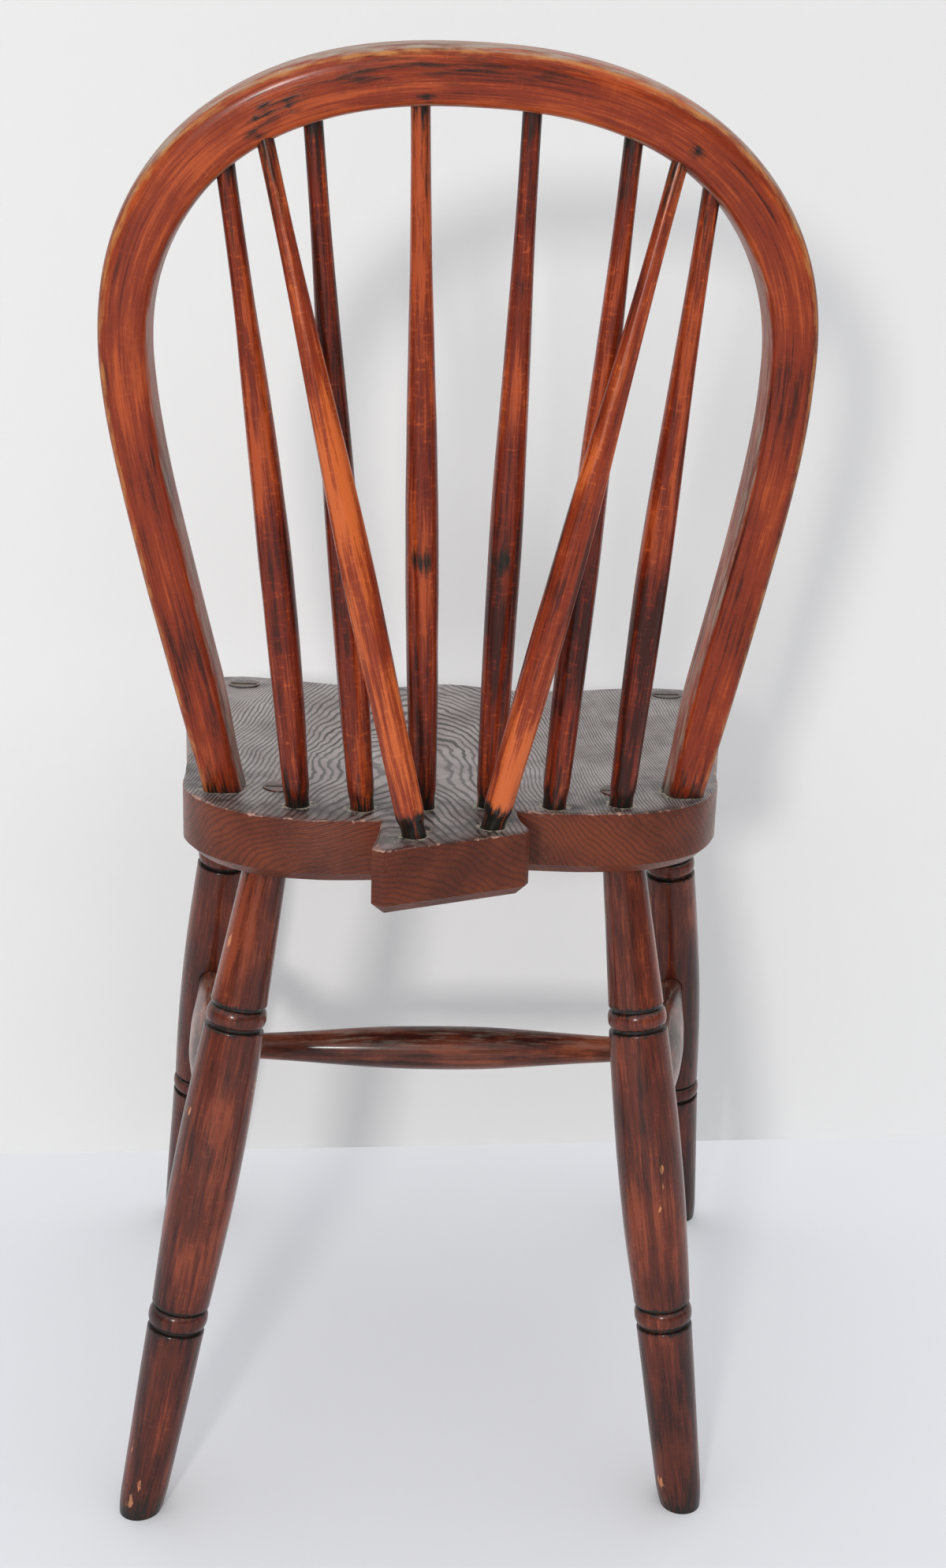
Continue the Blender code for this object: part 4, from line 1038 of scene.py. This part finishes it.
for number, (piece, line, node, finish, brace) in enumerate(sticks):
    foot, top, way = line
    p = points_of(piece)
    grain = along_axis(p, foot, top)
    length = np.linalg.norm(top - foot)
    rise = grain[:, 2]
    into_bow = length - SPINDLE_TOP_TENON + 0.008
    low = np.exp(-np.clip(rise, 0, None) / STICK_FOOT_GRIME)
    if brace:
        low = smooth((BRACE_DARK_FOOT - rise) / 0.006)
    top_grime = np.exp(-np.clip(into_bow - rise, 0, None) / STICK_TOP_GRIME)
    marks = []
    for at, bearing, size in STICK_MARKS.get(node, ()):
        marks.append((foot + way * at + bearing_way(bearing) * 0.009, (size, size, size)))
    tone = 0.10 * np.sin(rise * 11 + 2.1 * number) + STICK_TONE_AND_HIGHLIGHT.get(node, 0.0)
    tone -= 0.10 * np.exp(-((rise - 0.12) / 0.06) ** 2) * (1 - brace)
    paint(piece, grain + (0.9 * number, 0.2, 1.7 * number), tone=tone,
          grime=np.clip(0.95 * low + 0.75 * top_grime + 0.85 * spread_marks(p, marks), 0, 1))
    stands_for(piece, node, finish)

# The bow is finished here, once all its sockets are noted.
hoop_finish = stained(
    "stained_ash_bow", (0.050, 0.0080, 0.0040, 1), (0.212, 0.0265, 0.0072, 1),
    (0.42, 0.074, 0.017, 1), bare=(0.46, 0.185, 0.055, 1), flecks=0.35, streaks=0.75,
    blotches=0.50, roughness=0.38, coat=0.14, relief=0.00045, worn_edge=0.55)
settle(hoop)
p = points_of(hoop)
in_plane = p - bow_foot_middle
px, pz, pf = in_plane @ bow_across, in_plane @ bow_up, in_plane @ bow_forward
plane = np.stack([px, pz], axis=1)
nearest, _ = nearest_on(plane, middle_line)
p_out = (px - middle_line[nearest, 0]) * outward[nearest, 0]
p_out += (pz - middle_line[nearest, 1]) * outward[nearest, 1]
grain = np.stack([p_out, pf, bow_gone[nearest]], axis=1)
half_face, half_depth = face[nearest] / 2, BOW_DEPTH / 2
past_corner = p_out / half_face + pf / half_depth
outer = p_out > half_face / 2
corner = np.exp(-(past_corner / 0.13) ** 2) * outer
rear = smooth(-pf / 0.006)
scars = spread_marks(plane, BOW_SCARS)
dark_crown = smooth((px - BOW_STREAK[0]) / BOW_STREAK_FADE + 1)
dark_crown *= smooth((BOW_STREAK[1] - px) / BOW_STREAK_FADE + 1)
dark_crown *= smooth((pz - BOW_STREAK_HEIGHT) / 0.02) * np.exp(-((p_out - 0.004) / 0.005) ** 2) * rear
at_feet = np.exp(-np.clip(pz, 0, None) / BOW_FOOT_GRIME)
# Painted sheen: the upward outer faces get a pale coat, partly dust, partly a painted reflection of the
# bright room.
upward_dust_and_sheen = smooth((past_corner - 0.05) / 0.15) * outer * smooth((outward[nearest, 1] - 0.3) / 0.4)
# Painted reflection of the wall: the inner faces get a lighter pale coat.
inner_sheen = smooth((-p_out / half_face - 0.80) / 0.15)
paint(hoop, grain,
      tone=-0.12 * at_feet + 0.03 + 0.04 * crown[nearest] - 0.10 * dark_crown,
      grime=np.clip(0.85 * at_feet + 0.34 * dark_crown + 0.75 * scars * rear, 0, 1),
      wear=corner * (0.50 + 0.22 * crown[nearest]),
      dust=np.clip(0.50 * upward_dust_and_sheen + 0.22 * inner_sheen, 0, 1))
stands_for(hoop, "hoop", hoop_finish)


# Finish of the seat
# Once all stands in it, the board shows what years did: the top is worn grey and dusty, the sides
# keep their red varnish, and grime and pale dust have gathered round each socket.
# The rings' spacing on the top and on the sides, and where the pith lies below the board.
TOP_SPACING = 0.0014
SIDE_SPACING = 0.0032
PITH_ACROSS, PITH_HEIGHT, PITH_SLOPE = -0.035, 0.300, 0.06
# Bends of the rings: repeats to the metre, and size.
RING_BENDS = ((9.0, 0.022), (38.0, 0.0040), (150.0, 0.0007))
BOW_FOOT_REACH = 0.0125
# How far grime reaches from a stick, from a leg's tenon and from the board's rim.
STICK_HOLE_GRIME, LEG_HOLE_GRIME, RIM_GRIME = 0.010, 0.0025, 0.012
REAR_STRIP = -0.128
PALE_ELM = (0.205, 0.170, 0.163, 1), (0.310, 0.270, 0.260, 1)
RED_ELM = (0.074, 0.0145, 0.0060, 1), (0.165, 0.034, 0.0125, 1)


def group_elm_rings():
    """Growth rings as cylinders about a pith that runs front to back and sinks towards the front,
    bent by noise: a thin dark line for each year, with pores along it."""
    tree, takes, gives = tree_of(
        "elm_rings",
        {"Vector": "Vector", "Spacing": "Float", "Bend": "Float"},
        {"Line": "Float", "Pores": "Float"})
    place = moved = takes["Vector"]
    stretched = vectors(tree, "MULTIPLY", place, (1, 0.45, 1))
    for scale, size in RING_BENDS:
        bent = add(tree, "TexNoise", {"Vector": stretched, "Scale": scale, "Detail": 1.5})
        centred = vectors(tree, "SUBTRACT", bent.outputs["Color"], (0.5, 0.5, 0.5))
        bend = maths(tree, "MULTIPLY", takes["Bend"], size)
        part = add(tree, "VectorMath", {0: centred, "Scale": bend}, operation="SCALE").outputs[0]
        moved = vectors(tree, "ADD", moved, part)
    split = add(tree, "SeparateXYZ", {0: moved}).outputs
    across = maths(tree, "SUBTRACT", split[0], PITH_ACROSS)
    deep = maths(tree, "MULTIPLY_ADD", split[1], PITH_SLOPE, maths(tree, "SUBTRACT", split[2], PITH_HEIGHT))
    square = maths(tree, "MULTIPLY_ADD", across, across, maths(tree, "MULTIPLY", deep, deep))
    away = maths(tree, "SQRT", square)
    years = maths(tree, "DIVIDE", away, takes["Spacing"])
    phase = maths(tree, "FRACT", years)
    late = stepped(tree, phase, 0.42, 0.66)
    early = stepped(tree, phase, 0.84, 0.98)
    line = maths(tree, "SUBTRACT", late, early, clamp=True)
    each = add(tree, "TexWhiteNoise", {"W": maths(tree, "FLOOR", years)}, noise_dimensions="1D").outputs[0]
    strength = maths(tree, "MULTIPLY_ADD", each, 0.35, 0.75)
    tree.links.new(maths(tree, "MULTIPLY", line, strength), gives["Line"])
    tree.links.new(noise(tree, place, 1500, 2, 0.6, (1, 0.10, 1)), gives["Pores"])
    return tree


def elm_finish():
    """Grey worn elm on top and red varnished elm on the sides, parted by the painted tone."""
    made, tree, _ = new_material("worn_elm_seat")
    place, worn = attribute(tree, "grain", "Vector"), attribute(tree, "tone")
    ring_group = group_elm_rings()
    rings = group_node(tree, ring_group, {"Vector": place, "Spacing": TOP_SPACING, "Bend": 1.0})
    cut_rings = group_node(tree, ring_group, {"Vector": place, "Spacing": SIDE_SPACING, "Bend": 2.6})
    cloud = noise(tree, place, 26, 4, 0.6)
    clouded = stepped(tree, cloud, 0.30, 0.70)
    top = blended(tree, rings["Line"], blended(tree, clouded, *PALE_ELM), (0.030, 0.021, 0.019, 1))
    pores = maths(tree, "MULTIPLY", stepped(tree, rings["Pores"], 0.55, 0.75), 0.45)
    top = blended(tree, pores, top, (0.05, 0.036, 0.032, 1))
    cut = maths(tree, "MULTIPLY", cut_rings["Line"], 0.44)
    side = blended(tree, cut, blended(tree, clouded, *RED_ELM), (0.024, 0.008, 0.005, 1))
    pores = maths(tree, "MULTIPLY", stepped(tree, rings["Pores"], 0.50, 0.72), 0.28)
    side = blended(tree, pores, side, (0.22, 0.070, 0.034, 1))
    worn = maths(tree, "MULTIPLY_ADD", maths(tree, "SUBTRACT", cloud, 0.5), 0.5, worn)
    colour = blended(tree, stepped(tree, worn, 0.30, 0.75), side, top)
    masks = {
        "wear": painted(tree, "wear", place, 200.0, (1, 1, 1), 0.12),
        "grime": painted(tree, "grime", place, 60.0, (1, 1, 1), 0.70),
        "dust": painted(tree, "dust", place, 420.0, (1, 1, 1), 0.30),
    }
    height = maths(tree, "MULTIPLY_ADD", rings["Line"], -0.55, maths(tree, "MULTIPLY", rings["Pores"], 0.35))
    finished(tree, colour, clouded, height, masks, (0.42, 0.25, 0.19, 1), 0.42, 0.15, 0.0003)
    return made


settle(seat)
p = points_of(seat)
x, y, z = p.T
depth = seat_plane(y) - dish(x, y) - z
_, to_edge = nearest_on(p[:, :2], outline)
on_top = smooth(1.4 - depth / 0.0012)
holes = [(stick_line(*place)[0], SPINDLE_RADII[0]) for place in SPINDLES]
holes += [(stick_line(*place, BRACE_BEHIND)[0], BRACE_RADII[0]) for place in BRACES.values()]
holes += [(bow_left_foot, BOW_FOOT_REACH), (bow_right_foot, BOW_FOOT_REACH)]
rings_of_dust, round_sockets = np.zeros(len(p)), np.zeros(len(p))
for at, radius in holes:
    away = np.hypot(x - at[0], y - at[1]) - radius
    rings_of_dust = np.maximum(rings_of_dust, np.exp(-((away - 0.0008) / 0.0016) ** 2))
    round_sockets = np.maximum(round_sockets, np.exp(-np.clip(away, 0, None) / STICK_HOLE_GRIME))
for place in LEG_HEADS.values():
    away = np.hypot(x - place[0], y - place[1]) - LEG_TENON_R
    round_sockets = np.maximum(round_sockets, 0.9 * np.exp(-np.clip(away, 0, None) / LEG_HOLE_GRIME))
rim = np.exp(-to_edge / RIM_GRIME) * on_top
behind = smooth((REAR_STRIP - y) / 0.02) * on_top
arris = smooth(1 - np.abs(depth - 0.0007) / 0.0011) * smooth(1 - (to_edge - 0.002) / 0.001)
paint(seat, p, tone=on_top * (1 - 0.30 * behind) * (1 - 0.25 * rim),
      grime=np.clip((0.46 * round_sockets + 0.12 * behind + 0.12 * rim) * on_top, 0, 1),
      dust=0.80 * rings_of_dust * on_top, wear=0.42 * arris)
stands_for(seat, "seat", elm_finish())


# Floor, wall, light and camera
# The chair stands on a pale floor before a pale wall, in even light from above and from the front,
# with one soft lamp a little to the left of the camera, whose shadows fall on the wall's right.
WALL_TURN = math.radians(3.8)
WALL_FOOT = (0.0, 0.306)
WORLD_COLOUR = (0.97, 0.985, 1.0, 1.0)
WORLD_MOST, WORLD_LEAST = 1.12, 0.12
FLOOR_COLOUR = (0.67, 0.675, 0.70, 1.0)
WALL_COLOUR = (0.84, 0.84, 0.835, 1.0)
FLOOR_REACH = 6
WALL_REACH = 3
WALL_HEIGHT = 4


def stage_plane(name, corners, colour):
    """A flat staged surface with a matt colour."""
    mesh = bpy.data.meshes.new(name)
    mesh.from_pydata(corners, [], [(0, 1, 2, 3)])
    made = bpy.data.objects.new(name, mesh)
    bpy.context.scene.collection.objects.link(made)
    finish, tree, shader = new_material(name)
    shader.inputs["Base Color"].default_value = colour
    shader.inputs["Roughness"].default_value = 0.9
    shader.inputs["Specular IOR Level"].default_value = 0.1
    mesh.materials.append(finish)
    return tree


floor_corners = [(x * FLOOR_REACH, y * FLOOR_REACH, 0) for x, y in ((-1, -1), (1, -1), (1, 1), (-1, 1))]
stage_plane("floor", floor_corners, FLOOR_COLOUR)
wall_way = np.array([math.cos(WALL_TURN), math.sin(WALL_TURN), 0.0])
wall_middle = HERE + np.array([*WALL_FOOT, 0.0])
low_left, low_right = wall_middle - WALL_REACH * wall_way, wall_middle + WALL_REACH * wall_way
rise = np.array([0.0, 0.0, WALL_HEIGHT])
wall_corners = [tuple(corner) for corner in (low_left, low_right, low_right + rise, low_left + rise)]
tree = stage_plane("wall", wall_corners, WALL_COLOUR)
# The wall shows only to the camera and in reflections, and only from its front.
seen = tree.nodes.new("ShaderNodeLightPath")
side = tree.nodes.new("ShaderNodeNewGeometry")
rays = maths(tree, "MAXIMUM", seen.outputs["Is Camera Ray"], seen.outputs["Is Glossy Ray"])
rays = maths(tree, "MULTIPLY", rays, maths(tree, "SUBTRACT", 1.0, side.outputs["Backfacing"]))
clear = tree.nodes.new("ShaderNodeBsdfTransparent")
mix = add(tree, "MixShader", {0: rays, 1: clear.outputs[0], 2: tree.nodes["Principled BSDF"].outputs[0]})
tree.links.new(mix.outputs[0], tree.nodes["Material Output"].inputs["Surface"])

world = bpy.data.worlds.new("studio")
bpy.context.scene.world = world
world.use_nodes = True
tree = world.node_tree
way_out = add(tree, "TexCoord", {}).outputs["Generated"]
split = add(tree, "SeparateXYZ", {0: way_out}).outputs
ceiling = stepped(tree, split[2], 0.05, 0.55)
ahead_of = stepped(tree, split[1], 0.0, 0.6)
level = maths(tree, "MULTIPLY_ADD", maths(tree, "MAXIMUM", ceiling, ahead_of), WORLD_MOST, WORLD_LEAST)
tree.links.new(level, tree.nodes["Background"].inputs["Strength"])
tree.nodes["Background"].inputs["Color"].default_value = WORLD_COLOUR


def soft_lamp(name, place, target, size, power, colour):
    """A square soft lamp that looks at a point."""
    lamp = bpy.data.lights.new(name, "AREA")
    lamp.size = size
    lamp.energy = power
    lamp.color = colour
    made = bpy.data.objects.new(name, lamp)
    bpy.context.scene.collection.objects.link(made)
    made.location = place
    made.rotation_euler = (Vector(target) - Vector(place)).to_track_quat("-Z", "Y").to_euler()


soft_lamp("key", (-0.55, -2.40, 1.02), (0.0, 0.0, 0.5), 0.22, 22.0, (1.0, 0.97, 0.93))

CAMERA_PLACE = (-0.01456, -1.13464, 0.75504)
CAMERA_YAW, CAMERA_PITCH, CAMERA_ROLL = (math.radians(v) for v in (-3.605, 15.458, 2.425))
FRAME_WIDE, FRAME_TALL = 1200, 1989
FOCAL_PIXELS = 2210.5
VIEW_MIDDLE = (677.7, 979.1)
level_right = Vector((math.cos(CAMERA_YAW), math.sin(CAMERA_YAW), 0))
level_ahead = Vector((-math.sin(CAMERA_YAW), math.cos(CAMERA_YAW), 0))
ahead = level_ahead * math.cos(CAMERA_PITCH) - Vector((0, 0, 1)) * math.sin(CAMERA_PITCH)
upright = level_ahead * math.sin(CAMERA_PITCH) + Vector((0, 0, 1)) * math.cos(CAMERA_PITCH)
camera_x = level_right * math.cos(CAMERA_ROLL) + upright * math.sin(CAMERA_ROLL)
camera_y = upright * math.cos(CAMERA_ROLL) - level_right * math.sin(CAMERA_ROLL)
lens = bpy.data.cameras.new("camera")
camera = bpy.data.objects.new("camera", lens)
bpy.context.scene.collection.objects.link(camera)
camera.matrix_world = Matrix.Translation(Vector(CAMERA_PLACE) + Vector(HERE)) @ Matrix(
    (camera_x, camera_y, -ahead)).transposed().to_4x4()
lens.sensor_width = 36
lens.lens = FOCAL_PIXELS * lens.sensor_width / FRAME_TALL
lens.shift_x = (FRAME_WIDE / 2 - VIEW_MIDDLE[0]) / FRAME_TALL
lens.shift_y = -(FRAME_TALL / 2 - VIEW_MIDDLE[1]) / FRAME_TALL
bpy.context.scene.camera = camera
bpy.context.scene.view_settings.view_transform = "Standard"
